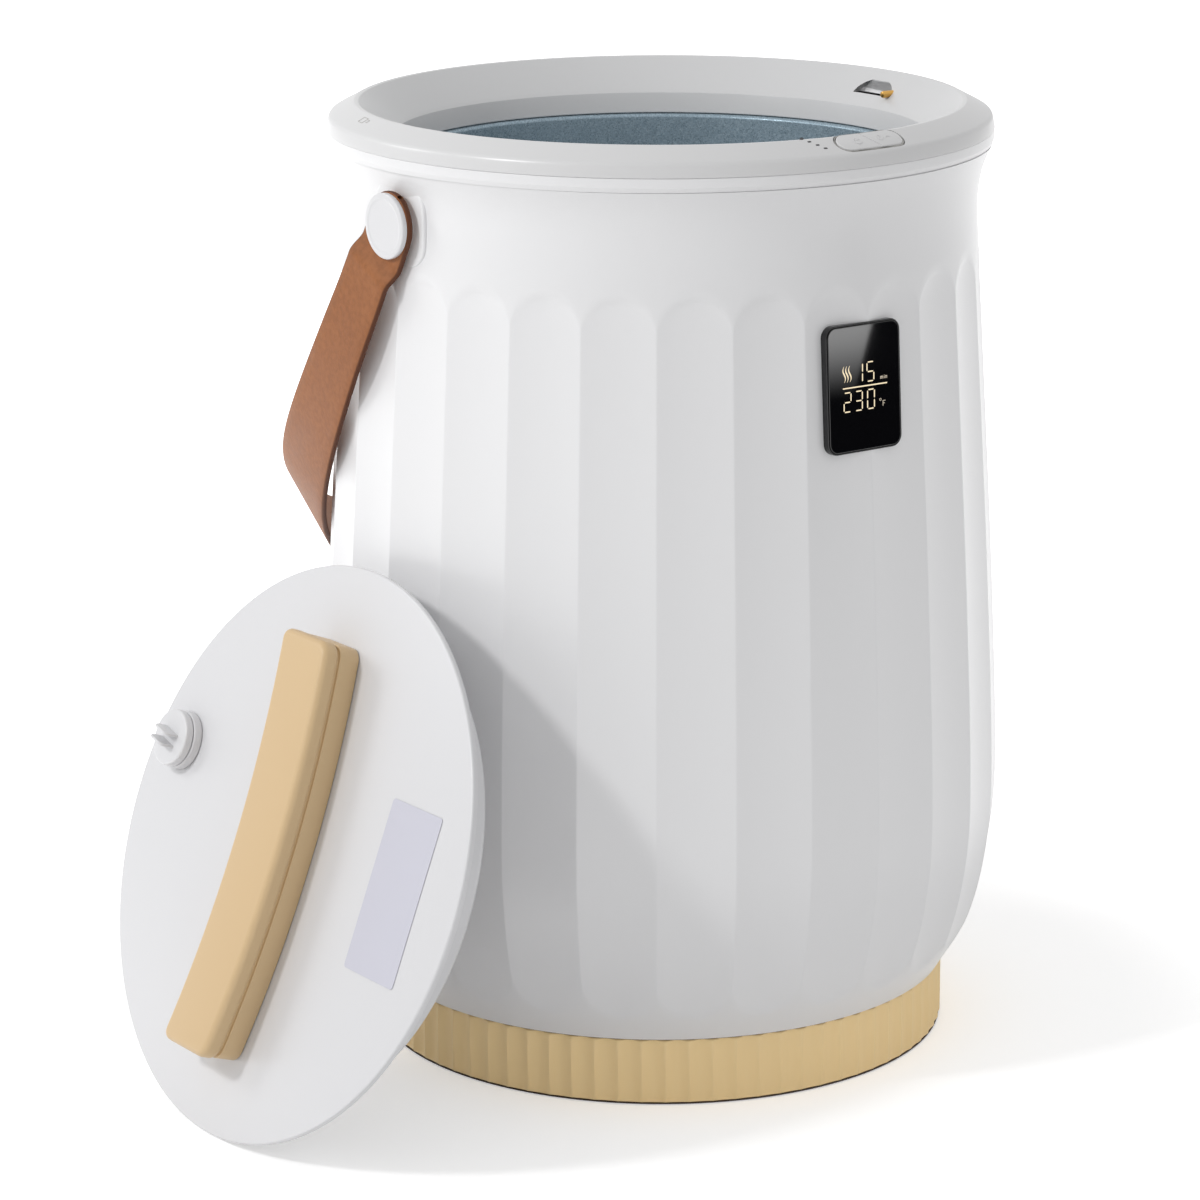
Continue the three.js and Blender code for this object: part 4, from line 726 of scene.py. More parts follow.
def makeCollar():
    wall = rim["wall"]
    corners = [  # a point of the rim, how far out and up from it, fillet
        ("seam", 0, 0, 0.0003), ("shoulder", 0, 0, 0.003), ("crest", 0, 0, 0.0014),
        ("crest", -0.0018, -0.0002, 0.0007), ("ledge", 0.0009, 0.0007, 0.0006),
        ("ledge", -0.0003, -0.0006, 0.0004), ("mouth", 0, 0, 0.0005), ("mouth", wall, 0, 0),
        ("ledge", wall, -wall / 2, 0), ("crest", -0.001, -0.0042, 0), ("shoulder", -wall / 2, -0.0042, 0),
        ("seam", -wall, 0, 0),
    ]
    piece = spunFrom([(*rimPoint(*point), fillet) for *point, fillet in corners], rim["steps"], arcSteps=6)
    recess = bentOntoRim(pill(buttons["frame"] + buttons["gap"], -buttons["recess"], 0.004))
    carved(piece, recess)
    carved(piece, pocketBlock(0, pocket["opening"], pocket["back"]))
    return finished(piece, "rimCollar", "body", "rimWhitePaintedShade", ["rim_collar"], smooth=28)


def makeBead():
    piece = spunFrom([
        (0.1283, 0.38295, 0), (0.1383, 0.38295, 0.0003), (0.1391, 0.3850, 0.001),
        (0.1390, 0.38874, 0.0003), (0.1283, 0.38874, 0),
    ], rim["steps"], arcSteps=6)
    return finished(piece, "rimBead", "body", "shellWhite", ["rim_bead"])


makeCollar()
makePocketCup()
makeBead()


def makeButtonFrame():
    piece = raisedFrom(pillOutline(buttons["frame"]), buttons["frameFloor"], buttons["frameTop"])
    carved(piece, pill(buttons["gap"], -0.01, 0.01))
    softened(piece, 0.00025, 2)
    bentOntoRim(piece)
    return finished(piece, "buttonFrame", "body", "frameGrey", ["button_frame"])


def makeButton(name, side, body, node):
    piece = raisedFrom(pillOutline(0), buttons["keyFloor"], buttons["proud"])
    far, width = side * buttons["length"], buttons["width"]
    foot, head = (buttons[split] + side * buttons["splitGap"] / 2 for split in ("splitFoot", "splitHead"))
    corners = [(foot, -width), (far, -width), (far, width), (head, width)]
    carved(piece, raisedFrom(corners, -0.02, 0.02), "INTERSECT")
    softened(piece, 0.0005)
    bentOntoRim(piece)
    return finished(piece, name, body, "rimWhitePaintedShade", [node])


makeButtonFrame()
makeButton("powerKey", -1, "power_key", "power_button")
makeButton("modeKey", 1, "mode_key", "mode_button")


def keyMark(name, body, x, y, outline):
    # A low raised mark on a button, bent round the rim with it
    piece = raisedFrom(shifted(outline, x, y), buttons["proud"] - 0.0002, buttons["proud"] + buttons["mark"])
    bentOntoRim(piece)
    return finished(piece, name, body, "rimWhitePaintedShade")


keyMarks = [
    ("powerRing", "power_key", -0.0066, 0, ringOutline(0.0017, 0.00028, radians(35), radians(325), 22)),
    ("powerStroke", "power_key", -0.0066, 0.0014, bar(0, 0, 0.0018, 0.00028, pi / 2)),
    ("modeRing", "mode_key", 0.0052, 0.0004, ringOutline(0.0015, 0.00025, 0, radians(300), 20)),
    ("modeHand", "mode_key", 0.0052, 0.0009, bar(0, 0, 0.0012, 0.00025, pi / 2)),
    ("modeWave", "mode_key", 0.0096, -0.0004, ringOutline(0.0012, 0.00025, radians(-60), radians(60), 10)),
]
for mark in keyMarks:
    keyMark(*mark)

indicators = {
    "places": [(0.1268, -12.1), (0.1290, -11.1), (0.1312, -10.0), (0.1334, -9.0)],  # radius, degrees
    "length": 0.0016, "width": 0.0009, "corner": 0.00035, "bottom": -0.002, "proud": 0.00008,
}


def makeIndicators():
    parts = []
    for radius, degrees in indicators["places"]:
        along = (radians(degrees) - slope["azimuth"]) * slope["radius"]
        upSlope = (slope["radius"] - radius) / cos(slope["angle"])
        corners = boxCorners(along, upSlope, indicators["length"], indicators["width"])
        outline = filleted([(x, y, indicators["corner"]) for x, y in corners])
        parts.append(bentOntoRim(raisedFrom(outline, indicators["bottom"], indicators["proud"])))
    return finished(joined(*parts), "indicatorDots", "body", "dark", ["indicator_guide"])


makeIndicators()

padlock = {
    "azimuth": radians(-105), "upSlope": 0.0008, "body": 0.0046, "shackle": 0.0030, "line": 0.0003,
    "squash": 0.7, "bottom": -0.0001, "proud": 0.00012,
}


def makePadlock():
    # A printed pictogram: an open padlock, drawn in thin lines on the slope
    size, reach = padlock["body"], padlock["shackle"]
    edge = size / 2
    lines = [  # middle, length, angle
        (0, -edge, size, 0), (0, edge, size, 0), (-edge, 0, size, pi / 2), (edge, 0, size, pi / 2),
        (edge + reach / 2, 0.3 * size, reach, 0), (edge + reach, 0.05 * size, 0.5 * size, pi / 2),
        (edge + 0.8 * reach, -0.2 * size, 0.4 * reach, 0),
    ]
    away = (padlock["azimuth"] - slope["azimuth"]) * slope["radius"]
    parts = []
    for x, y, length, angle in lines:
        line = [(px, padlock["squash"] * py) for px, py in bar(x, y, length, padlock["line"], angle)]
        outline = shifted(line, away, padlock["upSlope"])
        parts.append(bentOntoRim(raisedFrom(outline, padlock["bottom"], padlock["proud"])))
    return finished(joined(*parts), "padlockMark", "body", "frameGrey")


makePadlock()
print("rim made")


# The lid pin in its pocket

lidPin = {"azimuth": 1.477, "radius": 0.0015, "front": 0.1131, "back": 0.1262}


def makeLidPin():
    low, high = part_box("lid_pin")
    radius, front, back = lidPin["radius"], lidPin["front"], lidPin["back"]
    piece = spun([
        (0, front), (0.0008, front), (0.0013, front + 0.0002), (radius, front + 0.0008), (radius, back),
        (0, back),
    ], 32, closedLoop=False)
    settled(piece, facePlace(lidPin["azimuth"], 0, (low.z + high.z) / 2, 0))
    return finished(piece, "lidPin", "pin", "brass", ["lid_pin"])


makeLidPin()


# The metal bucket

bucket = {"radius": 0.1076, "wall": 0.001, "top": 0.3767, "bottom": 0.052, "corner": 0.012, "flange": 0.124}


def makeBucket():
    radius, wall, top, bottom = bucket["radius"], bucket["wall"], bucket["top"], bucket["bottom"]
    outside, flange, corner = radius + wall, bucket["flange"], bucket["corner"]
    piece = spunFrom([
        (0.00001, bottom, 0), (outside, bottom, corner + wall), (outside, top - wall, 0.0004),
        (flange, top - wall, 0), (flange, top, 0), (radius, top, 0.0015), (radius, bottom + wall, corner),
        (0.00001, bottom + wall, 0),
    ], 160, arcSteps=8)
    return finished(piece, "metalBucket", "body", "coat", ["inner_bucket"])


makeBucket()


# The base: scalloped ring, plate, seam gasket, cord gland

base = {
    "scallops": 78, "columns": 12, "radius": 0.1228, "depth": 0.0019, "bottom": 0.0006, "top": 0.0281,
    "inner": 0.112, "steps": 156,
    "plate": 0.1222, "plateInner": 0.1118, "plateEdge": 0.00055, "plateTop": 0.0024,
}


def makeBaseRing():
    radius, bottom, top = base["radius"], base["bottom"], base["top"]
    ringWidth = radius - base["inner"]
    rows = [  # height, share of the scallop's depth, how far the edge is tucked in
        (bottom, 0, 0.0012), (bottom + 0.0002, 0.3, 0.0005), (bottom + 0.0007, 0.8, 0.0001),
        (bottom + 0.0014, 1, 0), ((bottom + top) / 2, 1, 0), (top - 0.0016, 1, 0),
        (top - 0.0009, 0.85, 0.0001), (top - 0.0003, 0.5, 0.0006), (top, 0.2, 0.0016), (top, 0, ringWidth),
        (bottom, 0, ringWidth),
    ]
    columns = base["scallops"] * base["columns"]

    def placeOf(column, row):
        height, deep, tuck = rows[row % len(rows)]
        turn = (column % base["columns"]) / base["columns"]
        hollow = base["depth"] * sin(pi * turn) * deep
        azimuth = column / columns * 2 * pi
        return (*onCircle(radius - hollow - tuck, azimuth), height)

    piece = wrapped(columns, len(rows), placeOf)
    # The ring's butter is painted brighter than the handle's: painted light for the floor's bounce.
    return finished(piece, "scallopedRing", "body", "butterBasePaintedBounce", ["base_ring"], smooth=60)


def makeBasePlate():
    outer, inner, edge, top = (base[key] for key in ("plate", "plateInner", "plateEdge", "plateTop"))
    piece = spunFrom([
        (0.00001, 0, 0), (outer, 0, 0.0001), (outer, edge, 0), (inner, edge, 0), (inner, top, 0),
        (0.00001, top, 0),
    ], base["steps"])
    return finished(piece, "basePlate", "body", "brown", ["base_plate"])


def makeGasket():
    piece = spun([(0.113, 0.0282), (0.1222, 0.0282), (0.1222, 0.0286), (0.113, 0.0286)], base["steps"])
    return finished(piece, "seamGasket", "body", "brown", ["base_gasket"])


def makeGland():
    low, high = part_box("cord_gland")
    piece = spunFrom([
        (0.0032, 0.1117, 0), (0.005, 0.1117, 0), (0.005, 0.1229, 0), (0.007, 0.1229, 0.0004),
        (0.007, 0.1248, 0.0006), (0.0046, 0.1249, 0.0005), (0.0032, 0.1242, 0.0003),
    ], 40)
    settled(piece, facePlace(pi, 0, (low.z + high.z) / 2, 0))
    return finished(piece, "cordGland", "body", "rubber", ["cord_gland"])


makeBaseRing()
makeBasePlate()
makeGasket()
makeGland()
print("bucket and base made")


# The display on the front

display = {
    "azimuth": -0.025, "lean": 0.056, "height": 0.3002, "proud": 0.0008, "width": 0.0362, "tall": 0.0504,
    "corner": 0.004, "lip": 0.0008, "gap": 0.0001,
    "bezelBack": -0.007, "bezelFace": -0.0003, "recess": -0.0014, "glassBack": -0.0013,
}
displayPlace = facePlace(
    display["azimuth"], ridgeRadius(display["height"]) + display["proud"], display["height"], display["lean"]
)


def makeBezel():
    width, tall, corner, lip, gap = (display[key] for key in ("width", "tall", "corner", "lip", "gap"))
    outer = roundedBox(width + 2 * lip, tall + 2 * lip, corner + lip)
    piece = raisedFrom(outer, display["bezelBack"], display["bezelFace"])
    inner = roundedBox(width + 2 * gap, tall + 2 * gap, corner)
    carved(piece, raisedFrom(inner, display["recess"], 0.01))
    softened(piece, 0.0004)
    settled(piece, displayPlace)
    return finished(piece, "displayBezel", "body", "bezel", ["display_bezel"], smooth=8)


def makeGlass():
    outline = roundedBox(display["width"], display["tall"], display["corner"], 10)
    piece = raisedFrom(outline, display["glassBack"], 0)
    softened(piece, 0.0003)
    settled(piece, displayPlace)
    return finished(piece, "displayGlass", "body", "glass", ["display_window"], smooth=8)


makeBezel()
makeGlass()

readout = {
    "digitWidth": 0.0035, "digitHeight": 0.0077, "stroke": 0.00048, "gap": 0.00032, "proud": 0.00006,
    "slant": 0.025, "upperY": 0.0060, "lowerY": -0.0051,
    "line": (0.0002, 0.0005, 0.0226, 0.0005, -0.008),  # between the rows: middle, length, width, angle
    "heat": (-0.0103, -0.0089, -0.0074),  # the three waves of rising heat
    "heatY": 0.0062, "heatHeight": 0.0066, "heatSwing": 0.0006, "heatWidth": 0.0006, "heatSteps": 12,
}
segments = {"1": "bc", "2": "abged", "3": "abgcd", "5": "afgcd", "0": "abcdef"}


def segmentOutline(name, x, y):
    # One bar of a seven-bar digit with pointed ends, its digit centred on x, y
    width, height, thin = readout["digitWidth"], readout["digitHeight"], readout["stroke"] / 2
    across, up = width / 2, height / 4
    middles = {
        "a": (0, 2 * up), "b": (across, up), "c": (across, -up), "d": (0, -2 * up), "e": (-across, -up),
        "f": (-across, up), "g": (0, 0),
    }
    cx, cy = middles[name]
    level = name in "adg"
    length = (width if level else height / 2) / 2 - readout["gap"]
    tip = length - thin
    shape = [(-length, 0), (-tip, -thin), (tip, -thin), (length, 0), (tip, thin), (-tip, thin)]
    if not level:
        shape = [(-py, px) for px, py in shape]
    return [(x + cx + px + readout["slant"] * (cy + py), y + cy + py) for px, py in shape]


def strokeOutline(points, width):
    # A line drawn with a pen of that width, tapered to both ends
    left, right = [], []
    for k, (x, y) in enumerate(points):
        ax, ay = points[max(k - 1, 0)]
        bx, by = points[min(k + 1, len(points) - 1)]
        run = hypot(bx - ax, by - ay)
        half = width / 2 * sin(pi * (k + 0.35) / (len(points) - 0.3))
        nx, ny = -(by - ay) / run * half, (bx - ax) / run * half
        left.append((x + nx, y + ny))
        right.append((x - nx, y - ny))
    return left + right[::-1]


def litShapes():
    upper, lower = readout["upperY"], readout["lowerY"]
    digits = [
        ("1", -0.0027, upper), ("5", 0.0031, upper), ("2", -0.0089, lower), ("3", -0.0031, lower),
        ("0", 0.0031, lower),
    ]
    shapes = [segmentOutline(segment, x, y) for digit, x, y in digits for segment in segments[digit]]
    shapes.append(bar(*readout["line"]))
    steps, swing, tall = readout["heatSteps"], readout["heatSwing"], readout["heatHeight"]
    for x in readout["heat"]:
        ups = [k / steps for k in range(steps + 1)]
        wave = [(x + swing * sin(2 * pi * up), readout["heatY"] + tall * (up - 0.5)) for up in ups]
        shapes.append(strokeOutline(wave, readout["heatWidth"]))
    return shapes


letters = {
    "line": 0.00026,
    "upright": [  # x, y, length
        (0.0082, 0.0028, 0.0010), (0.0088, 0.0028, 0.0010), (0.0094, 0.0028, 0.0010),
        (0.0101, 0.0028, 0.0009), (0.0101, 0.0036, 0.0003), (0.0107, 0.0028, 0.0010),
        (0.0114, 0.0028, 0.0010), (0.0092, -0.0076, 0.0022),
    ],
    "level": [
        (0.0088, 0.0033, 0.0013), (0.01105, 0.0033, 0.0008), (0.0098, -0.0066, 0.0012),
        (0.0096, -0.0076, 0.0009),
    ],
    "degreeSign": (0.0079, -0.0060),
}


def smallLetters():
    # min and the degree sign with its F, as short strokes
    shapes = [
        bar(*place, letters["line"], angle)
        for strokes, angle in (("upright", pi / 2), ("level", 0)) for place in letters[strokes]
    ]
    return shapes + [shifted(ringOutline(0.00045, 0.0002, 0.05, 2 * pi, 12), *letters["degreeSign"])]


def makeReadout(name, shapes, finish):
    parts = [raisedFrom(shape, -0.0002, readout["proud"]) for shape in shapes]
    piece = settled(joined(*parts), displayPlace)
    return finished(piece, name, "body", finish)


makeReadout("readoutDigits", litShapes(), "lit")
makeReadout("readoutUnits", smallLetters(), "litDim")
print("display made")


# Pivot pads and caps

pivot = {
    "height": 0.361, "pad": 0.0336, "padCorner": 0.010, "padBack": 0.1275, "padFace": 0.1331, "cap": 0.0135,
    "capInner": 0.1383, "capOuter": 0.1408,
}


def sidePlace(side):
    return facePlace(side * pi / 2, 0, pivot["height"], 0)


def makePad(side, name):
    outline = roundedBox(pivot["pad"], pivot["pad"], pivot["padCorner"], 12)
    piece = raisedFrom(outline, pivot["padBack"], pivot["padFace"])
    softened(piece, 0.0011, 5, angle=60)
    corners = [(0.0032, 0.131, 0), (0.010, 0.131, 0), (0.010, 0.1352, 0.0003), (0.0032, 0.1352, 0)]
    collar = spunFrom(corners, 48)
    piece = settled(joined(piece, collar), sidePlace(side))
    return finished(piece, name, "body", "shellWhite", smooth=40)


def makeCap(side, name, node):
    radius, inner, outer = pivot["cap"], pivot["capInner"], pivot["capOuter"]
    piece = spunFrom([
        (0.00001, inner, 0), (radius - 0.0002, inner, 0.0002), (radius, outer - 0.0003, 0.0007),
        (radius - 0.0022, outer, 0.0006), (radius - 0.0030, outer - 0.00025, 0.0004),
        (0.00001, outer - 0.00025, 0),
    ], 96, arcSteps=5)
    settled(piece, sidePlace(side))
    return finished(piece, name, "body", "lidWhitePaintedShade", [node], smooth=25)


for side, end in ((-1, "Left"), (1, "Right")):
    makePad(side, "pivotPad" + end)
    makeCap(side, "pivotCap" + end, "pivot_cap_" + end.lower())


# The strap

strap = {
    "thickness": 0.0026, "width": 0.028, "middleWidth": 0.042, "seat": 0.1356, "clear": 0.1396,
    "bowStart": 0.0132, "bowEnd": 0.0225, "straight": 0.045, "reach": 0.2457, "hang": 0.505,
    "middleHang": 0.737, "straightSteps": 34, "turnSteps": 70, "endSteps": 12, "edgeSteps": 5,
    "faceSteps": 8,
    "tip": 0.0004,  # least half width, at the very end
    "edgeShare": 0.8,  # how far the rounded edge reaches in, as a share of half the thickness
    "paintFrom": 0.0012,  # how far in from the edge its paint begins and is full
    "paintFull": 0.0004,
}


def strapStations():
    width, straight, reach, thickness = strap["width"], strap["straight"], strap["reach"], strap["thickness"]
    stations = [(-width / 2 * cos(k / strap["endSteps"] * pi / 2), 0) for k in range(strap["endSteps"])]
    stations += [(k / strap["straightSteps"] * straight, 0) for k in range(strap["straightSteps"])]
    stations += [(straight, max(k / strap["turnSteps"], 1e-4)) for k in range(strap["turnSteps"] + 1)]
    half = []
    for away, turn in stations:
        if turn > 0:
            x = (strap["clear"] + thickness / 2) * cos(turn * pi / 2)
            away = straight + (reach - straight) * sin(turn * pi / 2)
        else:
            bow = smoothStep(away, strap["bowStart"], strap["bowEnd"])
            x = strap["seat"] + thickness / 2 + (strap["clear"] - strap["seat"]) * bow
        grown = smoothStep(max(0, away / reach), 0, 1)
        angle = strap["hang"] + (strap["middleHang"] - strap["hang"]) * grown
        middle = Vector((-x, away * sin(angle), pivot["height"] - away * cos(angle)))
        across = Vector((0, -cos(angle), -sin(angle)))
        halfWidth = (width + (strap["middleWidth"] - width) * grown) / 2
        if away < 0:
            halfWidth = max(sqrt(max(0, (width / 2) ** 2 - away ** 2)), strap["tip"])
        half.append((middle, across, halfWidth))
    mirror = Matrix.Diagonal((-1, 1, 1))
    return half + [(mirror @ middle, mirror @ across, wide) for middle, across, wide in half[-2::-1]]


def strapSection(halfWidth):
    # Round the band: flat faces and rounded edges, as (across, out)
    half = strap["thickness"] / 2
    corner = half * strap["edgeShare"]
    reach = max(halfWidth - corner, 0)
    points = []
    for side in (1, -1):
        for k in range(strap["edgeSteps"] + 1):
            angle = k / strap["edgeSteps"] * pi - pi / 2
            points.append((side * (reach + corner * cos(angle)), side * half * sin(angle)))
        for k in range(1, strap["faceSteps"]):
            points.append((side * reach * (1 - 2 * k / strap["faceSteps"]), side * half))
    return points


def makeStrap():
    stations = strapStations()
    rows = len(stations) - 1
    columns = len(strapSection(strap["width"] / 2))

    def placeOf(column, row):
        middle, across, halfWidth = stations[row]
        before, after = stations[max(row - 1, 0)][0], stations[min(row + 1, rows)][0]
        along = (after - before).normalized()
        across = (across - along * across.dot(along)).normalized()
        out = along.cross(across)
        sideways, outwards = strapSection(halfWidth)[column % columns]
        return middle + across * sideways + out * outwards

    piece = wrapped(columns, rows, placeOf)
    edge = piece.data.attributes.new("cutEdge", "FLOAT", "POINT")
    for corner in piece.data.vertices:
        edge.data[corner.index].value = edgeShare(corner.co, stations)
    return finished(piece, "leatherStrap", "strap", "leather", ["strap_handle"], smooth=60)


def edgeShare(point, stations):
    # 1 on the band's cut edge, 0 on its faces
    middle, across, halfWidth = min(stations, key=lambda station: (station[0] - point).length_squared)
    offset = abs((point - middle).dot(across))
    return smoothStep(offset, halfWidth - strap["paintFrom"], halfWidth - strap["paintFull"])


makeStrap()
print("strap made")


# The lid, leaning on the body

lid = {
    "azimuth": -1.5957, "tilt": 0.3677, "radius": 0.1191, "edge": 0.003, "under": -0.0033,
    "place": (-0.198998, -0.008948, 0.11198), "liner": 0.1012, "linerFoot": -0.0226, "linerWall": 0.0015,
}
lidPlace = facePlace(lid["azimuth"], 0, 0, lid["tilt"])
lidPlace.translation = lid["place"]


def onLid(piece, name, finish, stands=(), body="lid", smooth=32):
    settled(piece, lidPlace)
    return finished(piece, name, body, finish, stands, smooth)


def makeLidCover():
    radius, edge = lid["radius"], lid["edge"]
    piece = spunFrom([
        (0.00001, -edge, 0), (radius - 0.0002, -edge, 0.0006), (radius, -0.0002, 0.0009), (0.00001, 0, 0),
    ], 224, arcSteps=5)
    # The cover's white is painted darker than the shell's: painted shade for the key lamp's light.
    return onLid(piece, "lidCover", "lidWhitePaintedShade", ["lid_cover"])


def makeLidLiner():
    radius, foot, wall, under = (lid[key] for key in ("liner", "linerFoot", "linerWall", "under"))
    piece = spunFrom([
        (0.00001, foot, 0), (radius, foot, 0.003), (radius, under, 0), (radius - wall, under, 0),
        (radius - wall, foot + wall, 0.0015), (0.00001, foot + wall, 0),
    ], 128, arcSteps=5)
    return onLid(piece, "lidLiner", "lidWhitePaintedShade", ["lid_liner"])


def makeLidSeal():
    foot, under = lid["under"] - 0.003, lid["under"]
    piece = spunFrom([
        (0.1015, foot, 0.0003), (0.1052, foot, 0.001), (0.1052, under, 0), (0.1015, under, 0),
    ], 128)
    return onLid(piece, "lidSeal", "silicone", ["lid_seal"])


handle = {
    "length": 0.175, "width": 0.0326, "bow": 0.0089, "side": 0.005, "corner": 0.005, "parting": 0.0112,
    "height": 0.020, "footDraft": 0.15, "groove": 0.0005, "sideSteps": 24, "footInset": 0.0004,
    "neckInset": 0.0014, "overlap": 0.001,
}


def handleMiddle(y):
    # How far to the side the bowed handle's middle line is there
    return handle["side"] - handle["bow"] * (2 * y / handle["length"]) ** 2


def handleOutline(inset):
    # Straight ends with round corners, and sides that bow together
    width, length, steps = handle["width"] - 2 * inset, handle["length"] - 2 * inset, handle["sideSteps"]
    square = roundedBox(width, length, handle["corner"], 6)
    points = []
    for k, (x, y) in enumerate(square):
        points.append((x, y))
        nextX, nextY = square[(k + 1) % len(square)]
        if abs(nextY - y) > handle["length"] / 2:
            for step in range(1, steps):
                points.append((x + (nextX - x) * step / steps, y + (nextY - y) * step / steps))
    return [(x + handleMiddle(y), y) for x, y in points]


def makeHandle():
    parting, groove, overlap = handle["parting"], handle["groove"], handle["overlap"]
    foot = raisedFrom(handleOutline(handle["footInset"]), 0.0002, parting)
    for corner in foot.data.vertices:
        if corner.co.z < parting / 2:
            corner.co.x -= handle["footDraft"] * (corner.co.x - handleMiddle(corner.co.y))
    softened(foot, 0.0005)
    onLid(foot, "handleBase", "butter", ["lid_handle_base"])
    neck = raisedFrom(handleOutline(handle["neckInset"]), parting - overlap, parting + groove + overlap)
    onLid(neck, "handleNeck", "butter")
    grip = raisedFrom(handleOutline(0), parting + groove, handle["height"])
    softened(grip, 0.0028, 6)
    onLid(grip, "handleGrip", "butter", ["lid_handle_grip"])


scent = {
    "x": -0.0944, "y": 0.0244, "radius": 0.0125, "collarTop": 0.004, "capBottom": 0.0044, "capTop": 0.008,
    "capGap": 0.0004, "azimuth": 2.92, "finHalf": 0.00525, "finHeight": 0.0083, "finApart": 0.0025,
}


def makeVent():
    radius, collarTop = scent["radius"], scent["collarTop"]
    place = Matrix.Translation((scent["x"], scent["y"], 0))
    ring = spunFrom([
        (0.009, 0.0002, 0), (radius, 0.0002, 0.0002), (radius, collarTop, 0.0006), (0.009, collarTop, 0),
    ], 64)
    onLid(settled(ring, place), "ventCollar", "lidWhitePaintedShade", ["scent_collar"])
    radius -= scent["capGap"]
    bottom, top = scent["capBottom"], scent["capTop"]
    cap = spunFrom([
        (0.00001, 0.001, 0), (0.0087, 0.001, 0), (0.0087, bottom, 0), (radius, bottom, 0.0004),
        (radius, top, 0.0009), (0.00001, top - 0.0002, 0),
    ], 64)
    fins = []
    for side in (-1, 1):
        half, high = scent["finHalf"], scent["finHeight"]
        outline = filleted([(-half, 0, 0), (half, 0, 0), (half, high, 0.0025), (-half, high, 0.0025)], 6)
        fin = softened(raisedFrom(outline, -0.0006, 0.0006), 0.0004)
        turn = Matrix.Rotation(scent["azimuth"], 4, "Z")
        stand = turn @ Matrix.Translation((0, side * scent["finApart"], top - 0.0015))
        fins.append(settled(fin, stand @ Matrix.Rotation(pi / 2, 4, "X")))
    cap = settled(joined(cap, *fins), place)
    onLid(cap, "ventCap", "lidWhitePaintedShade", ["scent_cap"], "vent_cap")


label = {"place": (0.0769, 0.0031, 0), "width": 0.0346, "height": 0.0698, "corner": 0.0015}


def makeLabel():
    outline = roundedBox(label["width"], label["height"], label["corner"])
    piece = raisedFrom(outline, 0.00002, 0.00014)
    settled(piece, Matrix.Translation(label["place"]))
    return onLid(piece, "blankLabel", "label")


makeLidCover()
makeLidLiner()
makeLidSeal()
makeHandle()
makeVent()
makeLabel()
print("lid made")


# Finishes for the CAD nodes that stay

kept = {
    "film": ["heater_film"],
    "fibre": ["insulation_blanket", "lid_insulation", "scent_pad"],
    "silicone": ["heater_lead_left", "heater_lead_right", "thermal_fuse"],
    "dark": ["thermostat", "transformer", "display_panel", "power_switch", "mode_switch", "lid_switch"],
    "rubber": ["rubber_foot"],
    "circuit": ["main_board", "display_board", "button_board"],
    "blue": ["relay", "terminal_block"],
    "bezel": ["capacitor"],
    "steel": [
        "sensor_bracket", "clamp_band_lower", "clamp_band_upper", "lid_handle_screw_1", "lid_handle_screw_2",
        *(f"pivot_{piece}_{side}" for piece in ("bolt", "nut") for side in ("left", "right")),
        *(f"{place}_screw_{k}" for place in ("base", "bucket") for k in (1, 2, 3)),
    ],
}
for finish, names in kept.items():
    for name in names:
        nodes[name].data.materials.clear()
        nodes[name].data.materials.append(finishes[finish])
print("kept nodes finished,", sum(len(names) for names in kept.values()))


# Floor, background and light

studio = {
    "floorColor": (0.92, 0.92, 0.92),
    "ambient": 0.64,
    "nearLift": 0.36,  # how far the floor is lifted towards white beside the object
    "whiteFrom": 0.20,  # distance from the axis over which the floor turns to pure white
    "whiteTo": 0.42,
    "key": {"azimuth": radians(-94), "elevation": radians(35), "distance": 2.0, "size": 0.22, "power": 11.5},
    "back": {"azimuth": radians(-134), "elevation": radians(26), "distance": 2.0, "size": 0.5, "power": 5},
}


def seen(tree):
    # 1 for the camera, for reflections and through clear things, 0 for light that falls on the pieces
    path = addNode(tree, "ShaderNodeLightPath").outputs
    result = path["Is Camera Ray"]
    for ray in ("Is Glossy Ray", "Is Transmission Ray"):
        result = addNode(tree, "ShaderNodeMath", {0: result, 1: path[ray]}, operation="MAXIMUM").outputs[0]
    return result


def makeFloor():
    deselect()
    bpy.ops.mesh.primitive_plane_add(size=12, location=(0, 0, -0.0003))
    floor = bpy.context.object
    floor.name = "floor"
    white = (1, 1, 1, 1)
    finish, tree, shader = plainFinish("floorWhite", studio["floorColor"], 0.9, Emission_Color=white)
    # Near the object the floor shows its shadow, and further out it is the white of the background
    away = addNode(tree, "ShaderNodeVectorMath", {0: objectPlace(tree)}, operation="LENGTH")
    span = {"From_Min": studio["whiteFrom"], "From_Max": studio["whiteTo"]}
    length = away.outputs["Value"]
    far = mapped(tree, length, studio["nearLift"], 1, interpolation_type="SMOOTHSTEP", **span)
    lift = addNode(tree, "ShaderNodeMath", {0: seen(tree), 1: far}, operation="MULTIPLY")
    connect(tree, shader, Emission_Strength=lift.outputs[0])
    floor.data.materials.append(finish)


def makeLamp(name):
    lamp = studio[name]
    out = Vector((*onCircle(cos(lamp["elevation"]), lamp["azimuth"]), sin(lamp["elevation"])))
    bpy.ops.object.light_add(type="AREA", location=out * lamp["distance"] + Vector((0, 0, 0.2)))
    piece = bpy.context.object
    piece.name = name + "Lamp"
    piece.rotation_euler = out.to_track_quat("Z", "Y").to_euler()
    piece.data.shape = "SQUARE"
    piece.data.size = lamp["size"]
    piece.data.energy = lamp["power"]


def makeWorld():
    world = bpy.data.worlds.new("studio")
    bpy.context.scene.world = world
    world.use_nodes = True
    tree = world.node_tree
    back = tree.nodes["Background"]
    back.inputs["Color"].default_value = (1, 1, 1, 1)
    connect(tree, back, Strength=mapped(tree, seen(tree), studio["ambient"], 1))


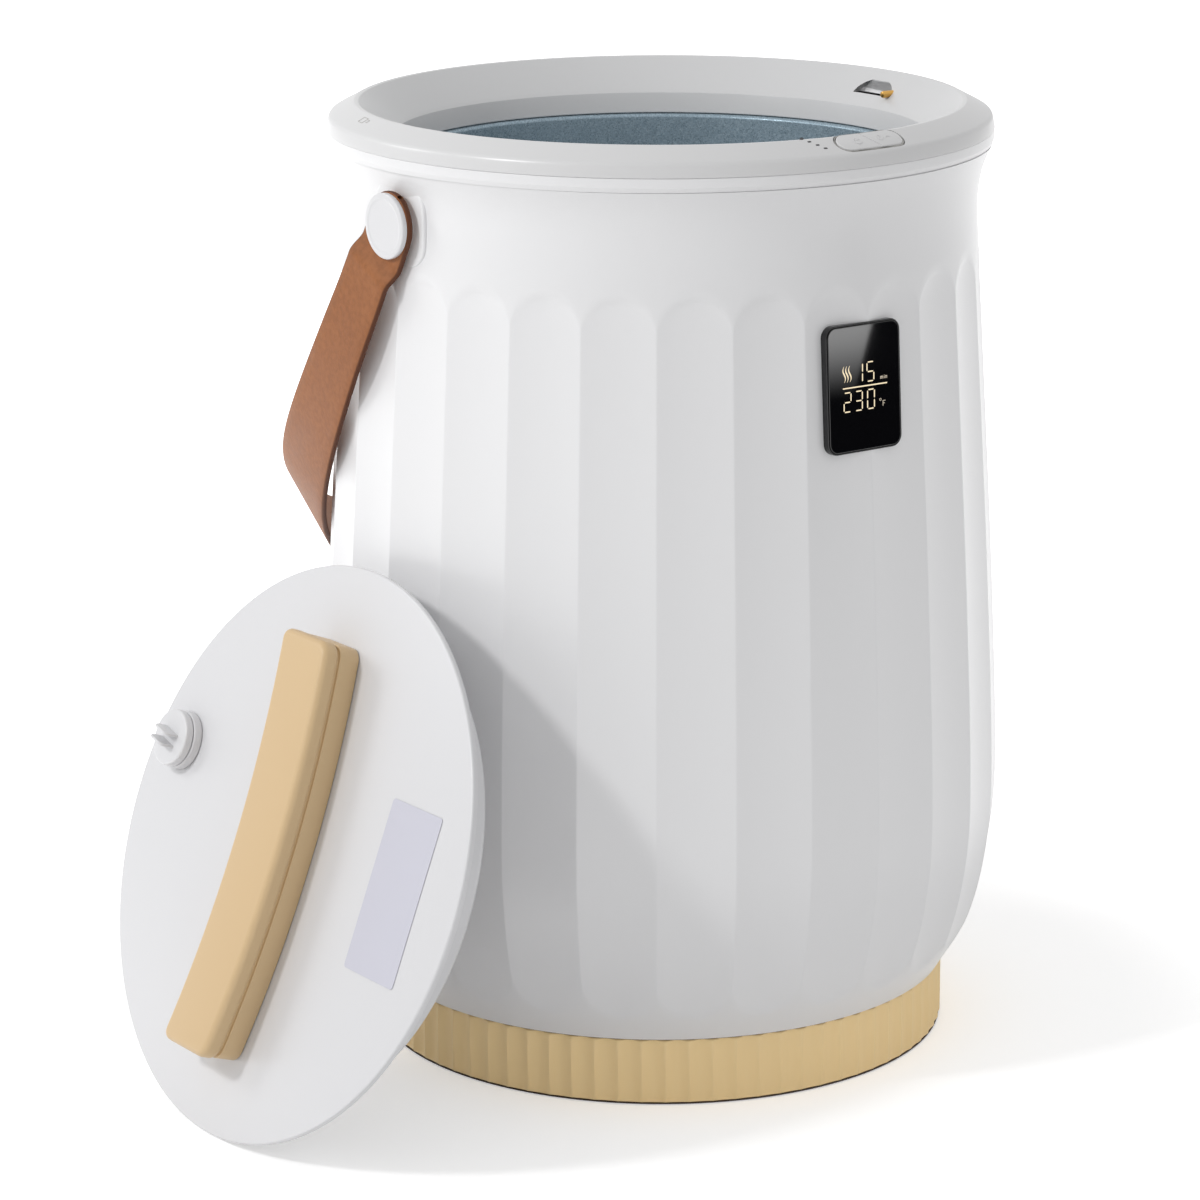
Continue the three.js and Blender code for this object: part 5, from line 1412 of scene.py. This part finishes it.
# Two cards that only reflections see: a black one that keeps the display's glass dark, and a lit one whose
# edge draws the slanting glare across it. Corners are in the display's own plane, cards stand off from it.

cards = {
    "distance": 0.5,
    "half": 0.075,
    "edge": [(0.0047, 0.0259), (-0.0133, -0.0227)],  # the glare's straight edge, on the glass
    "far": -0.0215,
    "strength": 5.5,
    "fadeFrom": -0.004,
    "fadeTo": 0.027,
}


def castOut(x, y, distance):
    # What the camera sees mirrored at x, y on the glass is here, that far in front of the glass
    eye = displayPlace.inverted() @ Vector(camera["place"])
    grow = 1 + distance / eye.z
    return eye.x + (x - eye.x) * grow, eye.y + (y - eye.y) * grow


def makeCard(name, corners, distance, finish):
    piece = raisedFrom(corners, distance, distance + 0.001)
    settled(piece, displayPlace)
    piece.name = name
    piece.data.materials.append(finish)
    for sight in ("camera", "diffuse", "transmission", "volume_scatter", "shadow"):
        setattr(piece, "visible_" + sight, False)


def glareFinish(low, high):
    dark = {"Specular_IOR_Level": 0, "Emission_Color": (1, 1, 1, 1)}
    finish, tree, shader = plainFinish("glareCard", (0, 0, 0), 1, **dark)
    height = addNode(tree, "ShaderNodeSeparateXYZ", {0: objectPlace(tree)}).outputs["Z"]
    span = {"From_Min": low, "From_Max": high}
    fade = mapped(tree, height, 0, cards["strength"], interpolation_type="SMOOTHSTEP", **span)
    connect(tree, shader, Emission_Strength=fade)
    return finish


def makeCards():
    distance, far, size = cards["distance"], cards["far"], 2 * cards["half"]
    black = plainFinish("darkCard", (0, 0, 0), 1, Specular_IOR_Level=0)[0]
    makeCard("darkCard", boxCorners(*castOut(0, 0, distance), size, size), distance + 0.01, black)
    (topX, topY), (footX, footY) = cards["edge"]
    lit = [castOut(x, y, distance) for x, y in ((footX, footY), (topX, topY), (far, topY), (far, footY))]
    ends = [Vector((*castOut(0, cards[end], distance), distance)) for end in ("fadeFrom", "fadeTo")]
    makeCard("glareCard", lit, distance, glareFinish(*[(displayPlace @ end).z for end in ends]))


makeFloor()
makeCards()
for lampName in ("key", "back"):
    makeLamp(lampName)
makeWorld()
bpy.context.scene.view_settings.view_transform = "Standard"
print("studio made")
